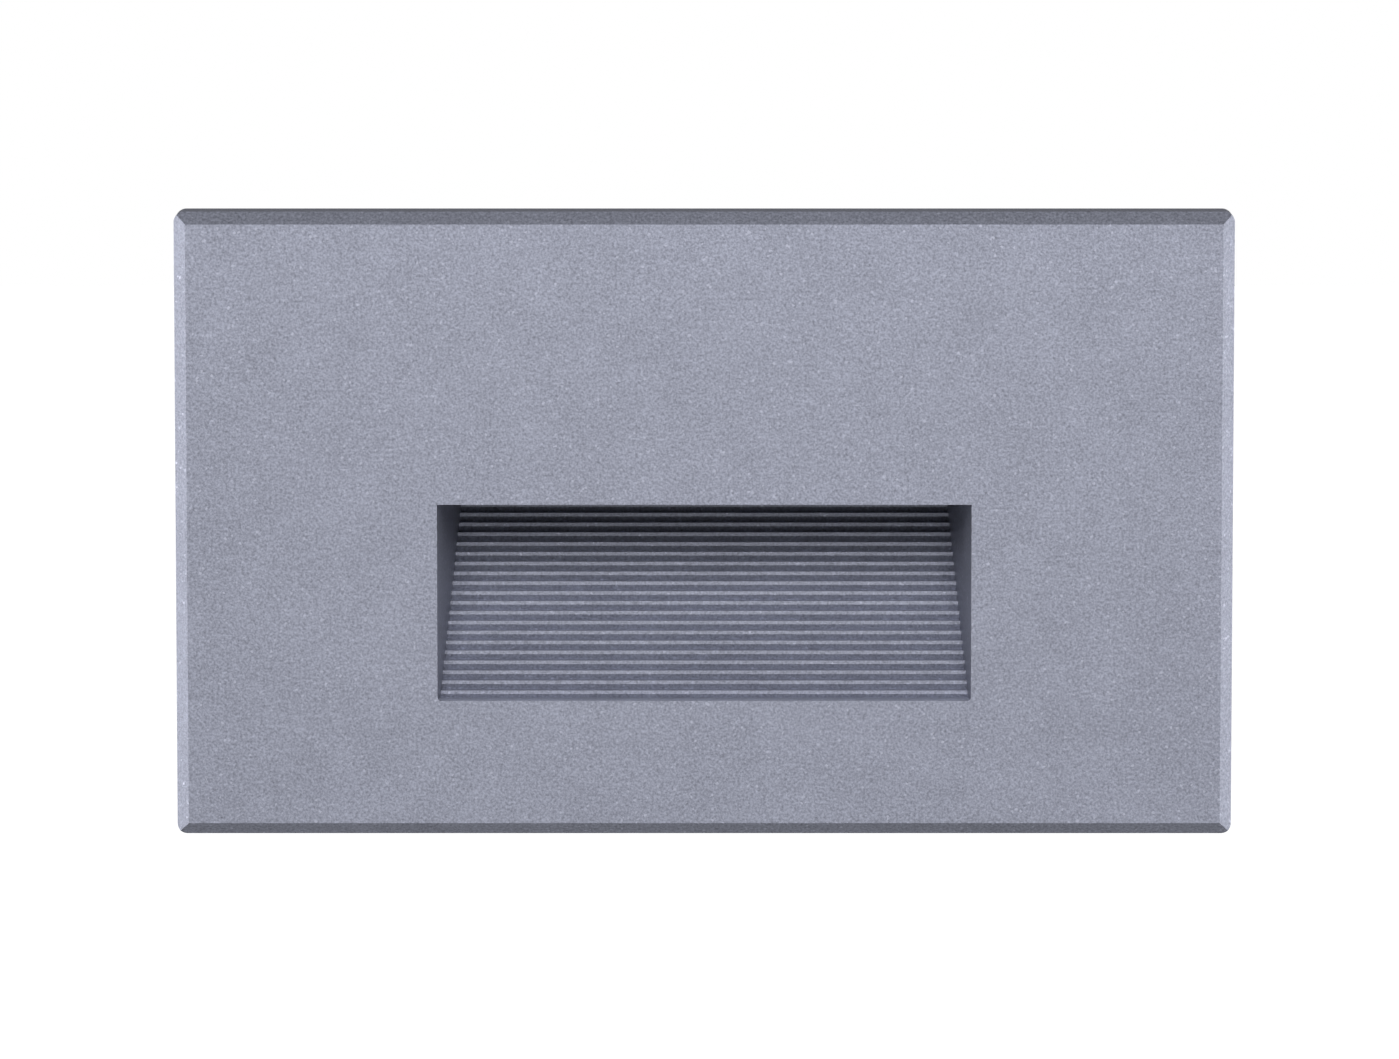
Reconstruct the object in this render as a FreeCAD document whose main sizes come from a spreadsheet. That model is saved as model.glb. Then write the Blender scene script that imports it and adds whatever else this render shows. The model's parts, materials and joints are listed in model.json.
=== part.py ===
import FreeCAD, Part
import math
import os
import re

import Sketcher
from FreeCAD import Placement, Rotation, Vector

# Recessed step light for a single-gang wall box that lies on its side.
# The wall's face is the plane y = 0. The plate stands in front of it, towards -Y, and the
# driver housing reaches back into the box, towards +Y. +Z is up. The origin is midway
# between the bracket's two screw slots, on the wall's face.

doc = FreeCAD.newDocument("StepLight")

# Driving dimensions in millimetres, angles in degrees.
dimensions = [
    # the plate and its rear rim
    ("plate_width", 120.0),
    ("plate_height", 71.0),
    ("plate_corner", 1.2),
    ("plate_bevel", 1.36),
    ("rim_width", 3.0),
    ("face_thickness", 2.4),
    # the scoop: its mouth, and the ribbed floor that slopes back and up from it
    ("opening_width", 60.6),
    ("opening_height", 22.4),
    ("opening_top", 2.3),
    ("opening_corner", 0.4),
    ("recess_depth", 21.6),
    ("recess_draft", 6.0),
    ("reveal_depth", 2.7),
    ("first_riser", 0.82),
    ("back_wall", 1.1),
    ("rib_count", 20),
    ("rib_nose", 0.40),
    ("rib_undercut", 30.0),
    ("scoop_wall", 1.8),
    ("boss_radius", 3.0),
    ("boss_end", 8.0),
    # stack from the wall to the face
    ("gasket_thickness", 1.0),
    ("gasket_width", 2.4),
    ("bracket_thickness", 1.5),
    ("bracket_gap", 0.3),
    ("flange_thickness", 1.8),
    ("flange_width", 2.6),
    ("seal_thickness", 1.0),
    # stack from the scoop's ceiling up to the heat spreader
    ("lamp_line", 7.5),
    ("window_margin", 5.25),
    ("window_width", 9.0),
    ("ledge_thickness", 1.2),
    ("lens_seal", 0.5),
    ("lens_seal_width", 1.5),
    ("lens_thickness", 2.0),
    ("lens_overlap", 2.0),
    ("lens_clearance", 0.3),
    ("reflector_height", 4.0),
    ("reflector_wall", 2.9),
    ("lamp_board_margin", 1.0),
    ("lamp_board_thickness", 1.2),
    ("lamp_count", 6),
    ("lamp_margin", 4.0),
    ("lamp_length", 3.5),
    ("lamp_width", 2.8),
    ("lamp_height", 0.7),
    ("pad_thickness", 0.5),
    ("spreader_margin", 0.35),
    ("spreader_width", 17.0),
    ("spreader_thickness", 2.5),
    ("spreader_screw_bite", 4.5),
    ("post_radius", 2.2),
    ("post_margin", 0.25),
    ("notch_width", 8.4),
    ("connector_inset", 11.5),
    ("connector_width", 6.8),
    ("connector_depth", 3.5),
    ("connector_height", 3.2),
    # driver housing and rear cover
    ("housing_clearance", 0.4),
    ("housing_wall", 1.6),
    ("housing_corner", 3.0),
    ("screw_clearance", 0.3),
    ("screw_radius", 1.5),
    ("screw_head_radius", 2.75),
    ("screw_head_height", 2.0),
    ("screw_bite", 5.5),
    ("cover_thickness", 2.4),
    ("cover_seal", 0.8),
    ("grommet_line", -12.0),
    ("grommet_inset", 6.3),
    ("grommet_radius", 4.4),
    ("grommet_lip", 1.1),
    ("grommet_lip_thickness", 1.6),
    ("cable_radius", 3.2),
    # driver board and what it carries
    ("sheet_thickness", 0.4),
    ("component_gap", 4.0),
    ("board_thickness", 1.6),
    ("board_edge", 0.55),
    ("board_drop", 20.0),
    ("board_rise", 12.5),
    ("post_height", 2.8),
    ("board_screw_inset", 3.5),
    ("board_screw_low", -17.0),
    ("board_screw_high", 9.0),
    ("small_screw_radius", 1.2),
    ("small_head_radius", 1.8),
    ("small_head_height", 1.3),
    ("small_slot_depth", 0.7),
    ("transformer_line", 0.0),
    ("transformer_level", -10.0),
    ("transformer_width", 16.0),
    ("transformer_length", 14.0),
    ("transformer_height", 12.0),
    ("bobbin_base", 2.0),
    ("core_thickness", 5.0),
    ("core_limb", 2.0),
    ("winding_gap", 0.2),
    ("winding_build", 2.8),
    ("capacitor_radius", 4.0),
    ("capacitor_height", 11.5),
    ("capacitor_groove", 0.4),
    ("low_can_inset", 10.0),
    ("low_can_level", -13.0),
    ("high_can_inset", 8.5),
    ("high_can_level", -4.2),
    ("film_inset", 11.0),
    ("film_level", 0.0),
    ("film_width", 12.0),
    ("film_depth", 5.0),
    ("film_height", 10.0),
    ("varistor_inset", 4.1),
    ("varistor_level", -8.6),
    ("varistor_radius", 3.8),
    ("varistor_thickness", 3.4),
    ("varistor_edge", 0.8),
    ("fuse_inset", 2.5),
    ("fuse_level", 1.0),
    ("fuse_radius", 1.9),
    ("fuse_height", 9.0),
    ("fuse_cap", 2.0),
    ("choke_line", 3.0),
    ("choke_level", 6.2),
    ("choke_radius", 3.8),
    ("choke_height", 9.0),
    ("choke_flange", 1.2),
    ("bridge_inset", 16.5),
    ("bridge_level", -0.8),
    ("bridge_length", 4.7),
    ("bridge_width", 3.2),
    ("bridge_height", 2.5),
    ("chip_line", 2.0),
    ("chip_level", -0.6),
    ("chip_length", 4.9),
    ("chip_width", 3.6),
    ("chip_height", 1.5),
    ("chip_edge", 0.3),
    ("terminal_inset", 14.0),
    ("terminal_low", 1.5),
    ("terminal_width", 15.0),
    ("terminal_rise", 9.0),
    ("terminal_depth", 10.0),
    ("terminal_pitch", 5.0),
    ("terminal_screw_radius", 1.5),
    ("terminal_screw_sink", 1.2),
    ("terminal_well_depth", 5.0),
    ("wire_hole_radius", 1.4),
    ("wire_hole_line", 3.0),
    ("wire_hole_depth", 4.0),
    ("plug_depth", 6.0),
    ("plug_height", 4.0),
    ("plug_level", 8.0),
    ("lead_radius", 0.65),
    ("lead_pitch", 2.5),
    # blade springs and the bracket that they grip
    ("spring_room", 2.0),
    ("spring_thickness", 0.5),
    ("spring_height", 10.0),
    ("spring_gap", 0.3),
    ("spring_foot", 12.0),
    ("spring_start", 34.0),
    ("spring_crest", 13.0),
    ("spring_tip", 4.0),
    ("rivet_radius", 1.0),
    ("rivet_head_radius", 1.7),
    ("rivet_head_height", 0.7),
    ("bracket_margin", 2.0),
    ("bracket_clearance", 1.0),
    ("grip_length", 15.0),
    ("grip_height", 18.0),
    ("slot_spacing", 83.3),
    ("slot_length", 5.2),
    ("slot_width", 4.0),
    ("earth_margin", 9.0),
    ("earth_rise", 12.4),
    ("earth_screw_radius", 2.0),
    ("earth_head_radius", 3.8),
    ("earth_screw_length", 7.0),
]

# Sizes that follow from the ones above.
derived = [
    ("bracket_width", "plate_width - 2 * rim_width - 2 * bracket_margin"),
    ("bracket_height", "plate_height - 2 * rim_width - 2 * bracket_margin"),
    ("earth_line", "-(bracket_width / 2 - earth_margin)"),
    ("earth_level", "-(bracket_height / 2 - earth_rise)"),
    ("window_length", "opening_width - 2 * window_margin"),
    ("lens_length", "window_length + 2 * lens_overlap"),
    ("lens_width", "window_width + 2 * lens_overlap"),
    ("reflector_length", "lens_length - 2 * lens_clearance"),
    ("reflector_width", "lens_width - 2 * lens_clearance"),
    ("lamp_board_length", "lens_length - 2 * lamp_board_margin"),
    ("lamp_board_width", "lens_width - 2 * lamp_board_margin"),
    ("lamp_screw_span", "reflector_length - 2 * reflector_wall - 2.5 * small_head_radius"),
    ("lamp_pitch", "(lamp_screw_span - 2 * lamp_margin) / (lamp_count - 1)"),
    ("spreader_length", "opening_width + 2 * scoop_wall - 2 * spreader_margin"),
    ("spreader_screw_span", "opening_width + 2 * scoop_wall - 2 * post_radius - 2 * post_margin"),
    ("grommet_rise", "opening_height - opening_top + scoop_wall + housing_clearance - grommet_inset"),
    ("board_width", "opening_width + 2 * scoop_wall - 4 * boss_radius - 2 * board_edge"),
    ("board_screw_line", "board_width / 2 - board_screw_inset"),
    ("connector_line", "board_width / 2 - connector_inset"),
    ("terminal_line", "-(board_width / 2 - terminal_inset)"),
    ("varistor_line", "board_width / 2 - varistor_inset"),
]

sheet = doc.addObject("Spreadsheet::Sheet", "Sizes")
cells = [(alias, str(number)) for alias, number in dimensions]
cells += [(alias, "=" + rule) for alias, rule in derived]
for row, (alias, content) in enumerate(cells, start=1):
    sheet.set("A%d" % row, alias)
    sheet.set("B%d" % row, content)
    sheet.setAlias("B%d" % row, alias)
doc.recompute()
aliases = {alias for alias, content in cells}


def full(expression):
    # the same expression with each size's name pointed at the sheet
    return re.sub(r"[a-z_]+", lambda word: "Sizes." + word.group() if word.group() in aliases
                  else word.group(), str(expression))


def value(expression):
    return float(sheet.evalExpression(full(expression)))


def bind(item, prop, expression):
    item.setExpression(prop, full(expression))


# Places along Y, counted from the wall's face.
bracket_front = "-bracket_thickness"
flange_back = "(-bracket_thickness - bracket_gap)"
housing_front = "(%s - flange_thickness)" % flange_back
pocket_floor = "(%s - seal_thickness)" % housing_front
face_front = "(%s - face_thickness)" % pocket_floor
plate_back = "-gasket_thickness"
floor_start = "(%s + reveal_depth)" % face_front
recess_back = "(%s + recess_depth)" % face_front
scoop_back = "(%s + scoop_wall)" % recess_back
board_front = "(%s + sheet_thickness + component_gap + transformer_height)" % scoop_back
board_back = "(%s + board_thickness)" % board_front
cover_front = "(%s + post_height)" % board_back
housing_back = "(%s - cover_seal)" % cover_front
cover_back = "(%s + cover_thickness)" % cover_front

# Places along Z.
opening_bottom = "(opening_top - opening_height)"
lens_seat = "(opening_top + ledge_thickness)"
lens_bottom = "(%s + lens_seal)" % lens_seat
lens_top = "(%s + lens_thickness)" % lens_bottom
scoop_top = "(%s + lens_clearance)" % lens_top
lamp_board_bottom = "(%s + reflector_height)" % lens_top
lamp_board_top = "(%s + lamp_board_thickness)" % lamp_board_bottom
spreader_bottom = "(%s + pad_thickness)" % lamp_board_top
spreader_top = "(%s + spreader_thickness)" % spreader_bottom

# Half widths across X and half heights along Z.
scoop_half = "(opening_width / 2 + scoop_wall)"
housing_inside = "(%s + housing_clearance)" % scoop_half
housing_outside = "(%s + housing_wall)" % housing_inside
grip_inside = "(%s + spring_room)" % housing_outside
housing_inside_rise = "(opening_height - opening_top + scoop_wall + housing_clearance)"
housing_outside_rise = "(%s + housing_wall)" % housing_inside_rise
screw_line = "(%s - housing_clearance - boss_radius)" % housing_inside
screw_level = "(%s - housing_clearance - boss_radius)" % housing_inside_rise
board_half = "(board_width / 2)"

# The scoop's floor: level ribs on a plane that rises from the mouth to the back.
floor_run = "(recess_depth - reveal_depth)"
floor_rise = "(opening_height - first_riser - back_wall)"
rib_run = "(%s / rib_count)" % floor_run
rib_rise = "(%s / rib_count)" % floor_rise
floor_level = "(%s + first_riser)" % opening_bottom

planes = {"X": "YZ_Plane", "Y": "XZ_Plane", "Z": "XY_Plane"}
nodes = []


def new_body(name):
    body = doc.addObject("PartDesign::Body", name)
    body.Label = name
    return body


def new_piece(name):
    body = new_body(name)
    nodes.append(body)
    return body


def add_drawing(body, name, axis, at, across="0", up="0"):
    # a drawing square to an axis, at a place along it, its own origin moved across and up
    drawing = body.newObject("Sketcher::SketchObject", name)
    plane = next(part for part in body.Origin.OriginFeatures if part.Role == planes[axis])
    drawing.AttachmentSupport = [(plane, "")]
    drawing.MapMode = "FlatFace"
    bind(drawing, "AttachmentOffset.Base.x", across)
    bind(drawing, "AttachmentOffset.Base.y", up)
    bind(drawing, "AttachmentOffset.Base.z", "-(%s)" % at if axis == "Y" else at)
    return drawing


def fix(drawing, kind, first, point, expression):
    if kind == "Radius":
        constraint = Sketcher.Constraint(kind, first, value(expression))
    else:
        constraint = Sketcher.Constraint(kind, -1, 1, first, point, value(expression))
    bind(drawing, "Constraints[%d]" % drawing.addConstraint(constraint), expression)


def draw_outline(drawing, corners):
    first = drawing.GeometryCount
    spots = [Vector(value(across), value(up), 0) for across, up in corners]
    for index, spot in enumerate(spots):
        drawing.addGeometry(Part.LineSegment(spot, spots[(index + 1) % len(spots)]))
    for index, (across, up) in enumerate(corners):
        after = first + (index + 1) % len(corners)
        drawing.addConstraint(Sketcher.Constraint("Coincident", first + index, 2, after, 1))
        fix(drawing, "DistanceX", first + index, 1, across)
        fix(drawing, "DistanceY", first + index, 1, up)


def draw_circle(drawing, across, up, radius):
    centre = Vector(value(across), value(up), 0)
    index = drawing.addGeometry(Part.Circle(centre, Vector(0, 0, 1), value(radius)))
    fix(drawing, "Radius", index, 0, radius)
    fix(drawing, "DistanceX", index, 3, across)
    fix(drawing, "DistanceY", index, 3, up)


def box(across, up, width, height):
    # corners of a rectangle about a centre
    left = "%s - (%s) / 2" % (across, width)
    right = "%s + (%s) / 2" % (across, width)
    low = "%s - (%s) / 2" % (up, height)
    high = "%s + (%s) / 2" % (up, height)
    return [(left, low), (right, low), (right, high), (left, high)]


def span(left, low, right, high):
    # corners of a rectangle from its low corner to its high one
    return [(left, low), (right, low), (right, high), (left, high)]


def cross(length, width):
    # outline of a cross slot about the drawing's own origin
    far = "(%s) / 2" % length
    near = "(%s) / 2" % width
    quarter = [(far, near), (near, near), (near, far)]
    outline = []
    for flip_across, flip_up in (("", ""), ("-", ""), ("-", "-"), ("", "-")):
        points = [(flip_across + "(%s)" % a, flip_up + "(%s)" % u) for a, u in quarter]
        outline += points if flip_across == flip_up else points[::-1]
    return outline


def extrude(body, name, axis, low, high, shapes, cut=False, across="0", up="0"):
    # adds or cuts the shapes from the low place to the high one along an axis
    drawing = add_drawing(body, name + "_drawing", axis, low, across, up)
    for shape in shapes:
        if isinstance(shape, tuple):
            draw_circle(drawing, *shape)
        else:
            draw_outline(drawing, shape)
    before = body.Shape.Volume if cut else 0
    feature = body.newObject("PartDesign::Pocket" if cut else "PartDesign::Pad", name)
    feature.Profile = drawing
    bind(feature, "Length", "%s - (%s)" % (high, low))
    feature.Reversed = (axis == "Y") != cut
    doc.recompute()
    if cut and not body.Shape.Volume < before:
        raise ValueError(name + " cuts nothing")
    return feature


def turn(body, name, axis, centre, profile):
    # turns a profile of (radius, place along the axis) about an axis through the centre
    x, y, z = centre
    if axis == "Y":
        drawing = add_drawing(body, name + "_drawing", "Z", z, x, "0")
        reference = "V_Axis"
    elif axis == "Z":
        drawing = add_drawing(body, name + "_drawing", "Y", y, x, "0")
        reference = "V_Axis"
    else:
        drawing = add_drawing(body, name + "_drawing", "Z", z, "0", y)
        reference = "H_Axis"
        profile = [(place, radius) for radius, place in profile]
    draw_outline(drawing, profile)
    feature = body.newObject("PartDesign::Revolution", name)
    feature.Profile = drawing
    feature.ReferenceAxis = (drawing, [reference])
    feature.Angle = 360
    doc.recompute()
    return feature


def chosen_edges(shape, test):
    return ["Edge%d" % index for index, edge in enumerate(shape.Edges, start=1) if test(edge)]


def runs_along(edge, axis):
    if not isinstance(edge.Curve, Part.Line):
        return False
    direction = {"X": Vector(1, 0, 0), "Y": Vector(0, 1, 0), "Z": Vector(0, 0, 1)}[axis]
    return abs(abs(edge.Curve.Direction.dot(direction)) - 1) < 1e-6


def soften(body, name, kind, size, test):
    # a fillet or chamfer on the edges of the body that pass the test
    base = body.Tip
    feature = body.newObject("PartDesign::" + kind, name)
    feature.Base = (base, chosen_edges(base.Shape, test))
    bind(feature, "Radius" if kind == "Fillet" else "Size", size)
    doc.recompute()
    return feature


def screw(body, name, axis, centre, seat, tip, radius, head_radius, head_height, slot_depth):
    # a pan head on the side of the seat away from the tip, with a cross slot in it
    forward = "" if value(tip) > value(seat) else "-"
    back = "-" if forward == "" else ""
    top = "%s %s (%s)" % (seat, "-" if forward == "" else "+", head_height)
    edge = "%s %s (%s) * 0.45" % (seat, "-" if forward == "" else "+", head_height)
    turn(body, name, axis, centre, [
        ("0", top),
        ("(%s) * 0.7" % head_radius, top),
        (head_radius, edge),
        (head_radius, seat),
        (radius, seat),
        (radius, "%s %s (%s) * 0.4" % (tip, "-" if forward == "" else "+", radius)),
        ("(%s) * 0.6" % radius, tip),
        ("0", tip)])
    x, y, z = centre
    across, up = {"Y": (x, z), "Z": (x, y), "X": (y, z)}[axis]
    floor = "%s %s (%s)" % (top, "+" if back == "-" else "-", slot_depth)
    low, high = (top, floor) if back == "-" else (floor, top)
    extrude(body, name + "_slot", axis, low, high,
            [cross("(%s) * 1.1" % head_radius, "(%s) * 0.3" % head_radius)], True, across, up)


# ---------------------------------------------------------------- faceplate
blank = new_body("faceplate_blank")
extrude(blank, "plate", "Y", face_front, plate_back, [box("0", "0", "plate_width", "plate_height")])
soften(blank, "plate_edge_bevel", "Chamfer", "plate_bevel",
       lambda edge: edge.BoundBox.YMax < value(face_front) + 1e-6)
soften(blank, "plate_corners", "Fillet", "plate_corner", lambda edge: runs_along(edge, "Y"))
extrude(blank, "rear_pocket", "Y", pocket_floor, plate_back,
        [box("0", "0", "plate_width - 2 * rim_width", "plate_height - 2 * rim_width")], True)

# The scoop's outer shell: its underside runs parallel to the ribbed floor.
groove_depth = "(%s + (%s - rib_nose) * tan(rib_undercut))" % (rib_run, rib_rise)
floor_slope = "(%s / %s)" % (floor_rise, floor_run)
under_drop = "(%s * %s + scoop_wall * sqrt(1 + %s ^ 2))" % (groove_depth, floor_slope, floor_slope)
shell_low = "(%s - scoop_wall)" % opening_bottom
shell_turn = "(%s + (%s - %s + %s) / %s)" % (
    floor_start, shell_low, floor_level, under_drop, floor_slope)
shell_back_low = "(%s + (%s - %s) * %s - %s)" % (
    floor_level, scoop_back, floor_start, floor_slope, under_drop)
root = "(%s - 1)" % pocket_floor
extrude(blank, "scoop_shell", "X", "-%s" % scoop_half, scoop_half, [[
    (root, shell_low), (shell_turn, shell_low), (scoop_back, shell_back_low),
    (scoop_back, scoop_top), (root, scoop_top)]])
for number, (side, level) in enumerate((("", ""), ("-", ""), ("", "-"), ("-", "-")), start=1):
    name = "housing_boss%d" % number
    place = (side + screw_line, level + screw_level)
    extrude(blank, name, "Y", root, "boss_end", [(place[0], place[1], "boss_radius")])
for number, side in enumerate(("", "-"), start=1):
    name = "spreader_post%d" % number
    place = "%sspreader_screw_span / 2" % side
    extrude(blank, name, "Z", "%s - 1" % scoop_top, spreader_bottom,
            [(place, "lamp_line", "post_radius")])

# The hollow of the scoop, as one tool: side profile with its rib grooves, plan taper and mouth.
profile = new_body("scoop_profile")
mouth = "(%s - 1)" % face_front
first_groove = "%s + (first_riser - rib_nose) * tan(rib_undercut)" % floor_start
extrude(profile, "wedge", "X", "-%s" % scoop_half, scoop_half, [[
    (mouth, opening_bottom), (first_groove, opening_bottom),
    (floor_start, "%s - rib_nose" % floor_level), (floor_start, floor_level),
    (recess_back, "%s + %s" % (floor_level, floor_rise)), (recess_back, "opening_top"),
    (mouth, "opening_top")]])
groove = extrude(profile, "groove", "X", "-%s" % scoop_half, scoop_half, [[
    (floor_start, floor_level),
    ("%s + %s" % (floor_start, groove_depth), floor_level),
    ("%s + %s" % (floor_start, rib_run), "%s + %s - rib_nose" % (floor_level, rib_rise)),
    ("%s + %s" % (floor_start, rib_run), "%s + %s" % (floor_level, rib_rise))]])
slope = add_drawing(profile, "slope_line", "X", "0")
slope.addGeometry(Part.LineSegment(Vector(value(floor_start), value(floor_level), 0),
                                   Vector(value(recess_back), value(floor_level) + value(floor_rise), 0)),
                  True)
fix(slope, "DistanceX", 0, 1, floor_start)
fix(slope, "DistanceY", 0, 1, floor_level)
fix(slope, "DistanceX", 0, 2, recess_back)
fix(slope, "DistanceY", 0, 2, "%s + %s" % (floor_level, floor_rise))
grooves = profile.newObject("PartDesign::LinearPattern", "grooves")
grooves.Originals = [groove]
grooves.Direction = (slope, ["Axis0"])
bind(grooves, "Length", "sqrt(%s ^ 2 + %s ^ 2) * (rib_count - 2) / rib_count" % (floor_run, floor_rise))
bind(grooves, "Occurrences", "rib_count - 1")
profile.Tip = grooves
doc.recompute()

taper = new_body("scoop_taper")
mouth_half = "(opening_width / 2 + tan(recess_draft))"
deep = "(%s + 1)" % recess_back
deep_half = "(opening_width / 2 - (recess_depth + 1) * tan(recess_draft))"
extrude(taper, "plan", "Z", "%s - 3" % opening_bottom, "opening_top + 3", [[
    ("-%s" % mouth_half, mouth), (mouth_half, mouth), (deep_half, deep), ("-%s" % deep_half, deep)]])
opening = new_body("scoop_mouth")
extrude(opening, "mouth", "Y", mouth, deep,
        [box("0", "opening_top - opening_height / 2", "opening_width", "opening_height")])
soften(opening, "mouth_corners", "Fillet", "opening_corner",
       lambda edge: runs_along(edge, "Y") and edge.BoundBox.ZMax < 0)
hollow = doc.addObject("Part::MultiCommon", "scoop_hollow")
hollow.Shapes = [profile, taper, opening]
rough = doc.addObject("Part::Cut", "faceplate_rough")
rough.Base = blank
rough.Tool = hollow
doc.recompute()

# Lens seat in the scoop's ceiling, then the blind threads.
cuts = new_body("faceplate_cuts")
extrude(cuts, "window", "Z", "opening_top - 1", "%s + 1" % scoop_top,
        [box("0", "lamp_line", "window_length", "window_width")])
extrude(cuts, "rebate", "Z", lens_seat, "%s + 1" % scoop_top,
        [box("0", "lamp_line", "lens_length + 2 * lens_clearance", "lens_width + 2 * lens_clearance")])
threads = new_body("faceplate_threads")
for number, (side, level) in enumerate((("", ""), ("-", ""), ("", "-"), ("-", "-")), start=1):
    extrude(threads, "thread%d" % number, "Y", "boss_end - screw_bite - 0.5", "boss_end + 1",
            [(side + screw_line, level + screw_level, "screw_radius + 0.05")])
for number, side in enumerate(("", "-"), start=1):
    extrude(threads, "spreader_thread%d" % number, "Z",
            "%s - spreader_screw_bite - 0.5" % spreader_bottom,
            "%s + 1" % spreader_bottom,
            [("%sspreader_screw_span / 2" % side, "lamp_line", "small_screw_radius + 0.05")])
removed = doc.addObject("Part::MultiFuse", "faceplate_removed")
removed.Shapes = [cuts, threads]
faceplate = doc.addObject("Part::Cut", "faceplate")
faceplate.Base = rough
faceplate.Tool = removed
nodes.append(faceplate)

# ------------------------------------------------------- gasket and bracket
body = new_piece("wall_gasket")
gasket_outer = ["plate_%s - (rim_width - gasket_width)" % way for way in ("width", "height")]
gasket_inner = ["plate_%s - (rim_width - gasket_width) - 2 * gasket_width" % way
                for way in ("width", "height")]
extrude(body, "foam", "Y", plate_back, "0",
        [box("0", "0", *gasket_outer), box("0", "0", *gasket_inner)])

body = new_piece("mounting_bracket")
extrude(body, "strap", "Y", bracket_front, "0", [
    box("0", "0", "bracket_width", "bracket_height"),
    box("0", "0", "2 * %s" % grip_inside, "2 * (%s + bracket_clearance)" % housing_outside_rise)])
soften(body, "strap_corners", "Fillet", "housing_corner",
       lambda edge: runs_along(edge, "Y") and abs(edge.BoundBox.XMax) > value(grip_inside) + 1)
for number, side in enumerate(("", "-"), start=1):
    extrude(body, "grip%d" % number, "Y", "%s / 2" % bracket_front, "grip_length",
            [box("%s(%s + bracket_thickness / 2)" % (side, grip_inside), "0",
                 "bracket_thickness", "grip_height")])
    middle = "%sslot_spacing / 2" % side
    straight = "(slot_length - slot_width) / 2"
    extrude(body, "slot%d" % number, "Y", bracket_front, "0",
            [box(middle, "0", "slot_length - slot_width", "slot_width")], True)
    for end, sign in (("in", "-"), ("out", "+")):
        extrude(body, "slot_%s%d" % (end, number), "Y", bracket_front, "0",
                [("%s %s %s" % (middle, sign, straight), "0", "slot_width / 2")], True)
extrude(body, "earth_thread", "Y", bracket_front, "0",
        [("earth_line", "earth_level", "earth_screw_radius + 0.05")], True)

body = new_piece("ground_screw")
screw(body, "screw", "Y", ("earth_line", "0", "earth_level"), bracket_front,
      "%s + earth_screw_length" % bracket_front, "earth_screw_radius", "earth_head_radius",
      "screw_head_height", "1")

# ------------------------------------------------------------ lamp chamber
body = new_piece("lens_gasket")
extrude(body, "ring", "Z", lens_seat, lens_bottom, [
    box("0", "lamp_line", "lens_length", "lens_width"),
    box("0", "lamp_line", "lens_length - 2 * lens_seal_width", "lens_width - 2 * lens_seal_width")])

body = new_piece("lens")
extrude(body, "pane", "Z", lens_bottom, lens_top, [box("0", "lamp_line", "lens_length", "lens_width")])
soften(body, "pane_corners", "Fillet", "lens_seal", lambda edge: runs_along(edge, "Z"))

body = new_piece("reflector_frame")
reflector_inside = ["reflector_%s - 2 * reflector_wall" % way for way in ("length", "width")]
extrude(body, "frame", "Z", lens_top, lamp_board_bottom, [
    box("0", "lamp_line", "reflector_length", "reflector_width"),
    box("0", "lamp_line", *reflector_inside)])

body = new_piece("led_packages")
lamps = [box("(%d - (lamp_count - 1) / 2) * lamp_pitch" % index, "lamp_line", "lamp_length",
             "lamp_width") for index in range(int(value("lamp_count")))]
extrude(body, "lamps", "Z", "%s - lamp_height" % lamp_board_bottom, lamp_board_bottom, lamps)

body = new_piece("led_board")
lamp_holes = [("%slamp_screw_span / 2" % side, "lamp_line", "small_screw_radius + 0.1")
              for side in ("", "-")]
extrude(body, "board", "Z", lamp_board_bottom, lamp_board_top,
        [box("0", "lamp_line", "lamp_board_length", "lamp_board_width")] + lamp_holes)

lamp_board_rear = "(lamp_line + lamp_board_width / 2)"
notch_front = "(%s - connector_depth - 0.5)" % lamp_board_rear
notch = span("connector_line - notch_width / 2", notch_front,
             "connector_line + notch_width / 2", "lamp_line + spreader_width / 2 + 1")

body = new_piece("thermal_pad")
extrude(body, "pad", "Z", lamp_board_top, spreader_bottom,
        [box("0", "lamp_line", "lamp_board_length", "lamp_board_width")] + lamp_holes)
extrude(body, "lead_notch", "Z", lamp_board_top, spreader_bottom, [notch], True)

body = new_piece("heat_spreader")
spreader_holes = [("%sspreader_screw_span / 2" % side, "lamp_line", "small_screw_radius + 0.1")
                  for side in ("", "-")]
extrude(body, "bar", "Z", spreader_bottom, spreader_top,
        [box("0", "lamp_line", "spreader_length", "spreader_width")] + spreader_holes)
extrude(body, "lead_notch", "Z", spreader_bottom, spreader_top, [notch], True)
extrude(body, "lamp_threads", "Z", spreader_bottom, spreader_top,
        [("%slamp_screw_span / 2" % side, "lamp_line", "small_screw_radius + 0.05")
         for side in ("", "-")], True)

body = new_piece("led_board_screws")
for number, side in enumerate(("", "-"), start=1):
    screw(body, "screw%d" % number, "Z", ("%slamp_screw_span / 2" % side, "lamp_line", "0"),
          lamp_board_bottom, "%s - 0.5" % spreader_top, "small_screw_radius",
          "small_head_radius", "small_head_height", "small_slot_depth")

body = new_piece("spreader_screws")
for number, side in enumerate(("", "-"), start=1):
    screw(body, "screw%d" % number, "Z", ("%sspreader_screw_span / 2" % side, "lamp_line", "0"),
          spreader_top, "%s - spreader_screw_bite" % spreader_bottom, "small_screw_radius",
          "small_head_radius", "small_head_height", "small_slot_depth")

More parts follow.
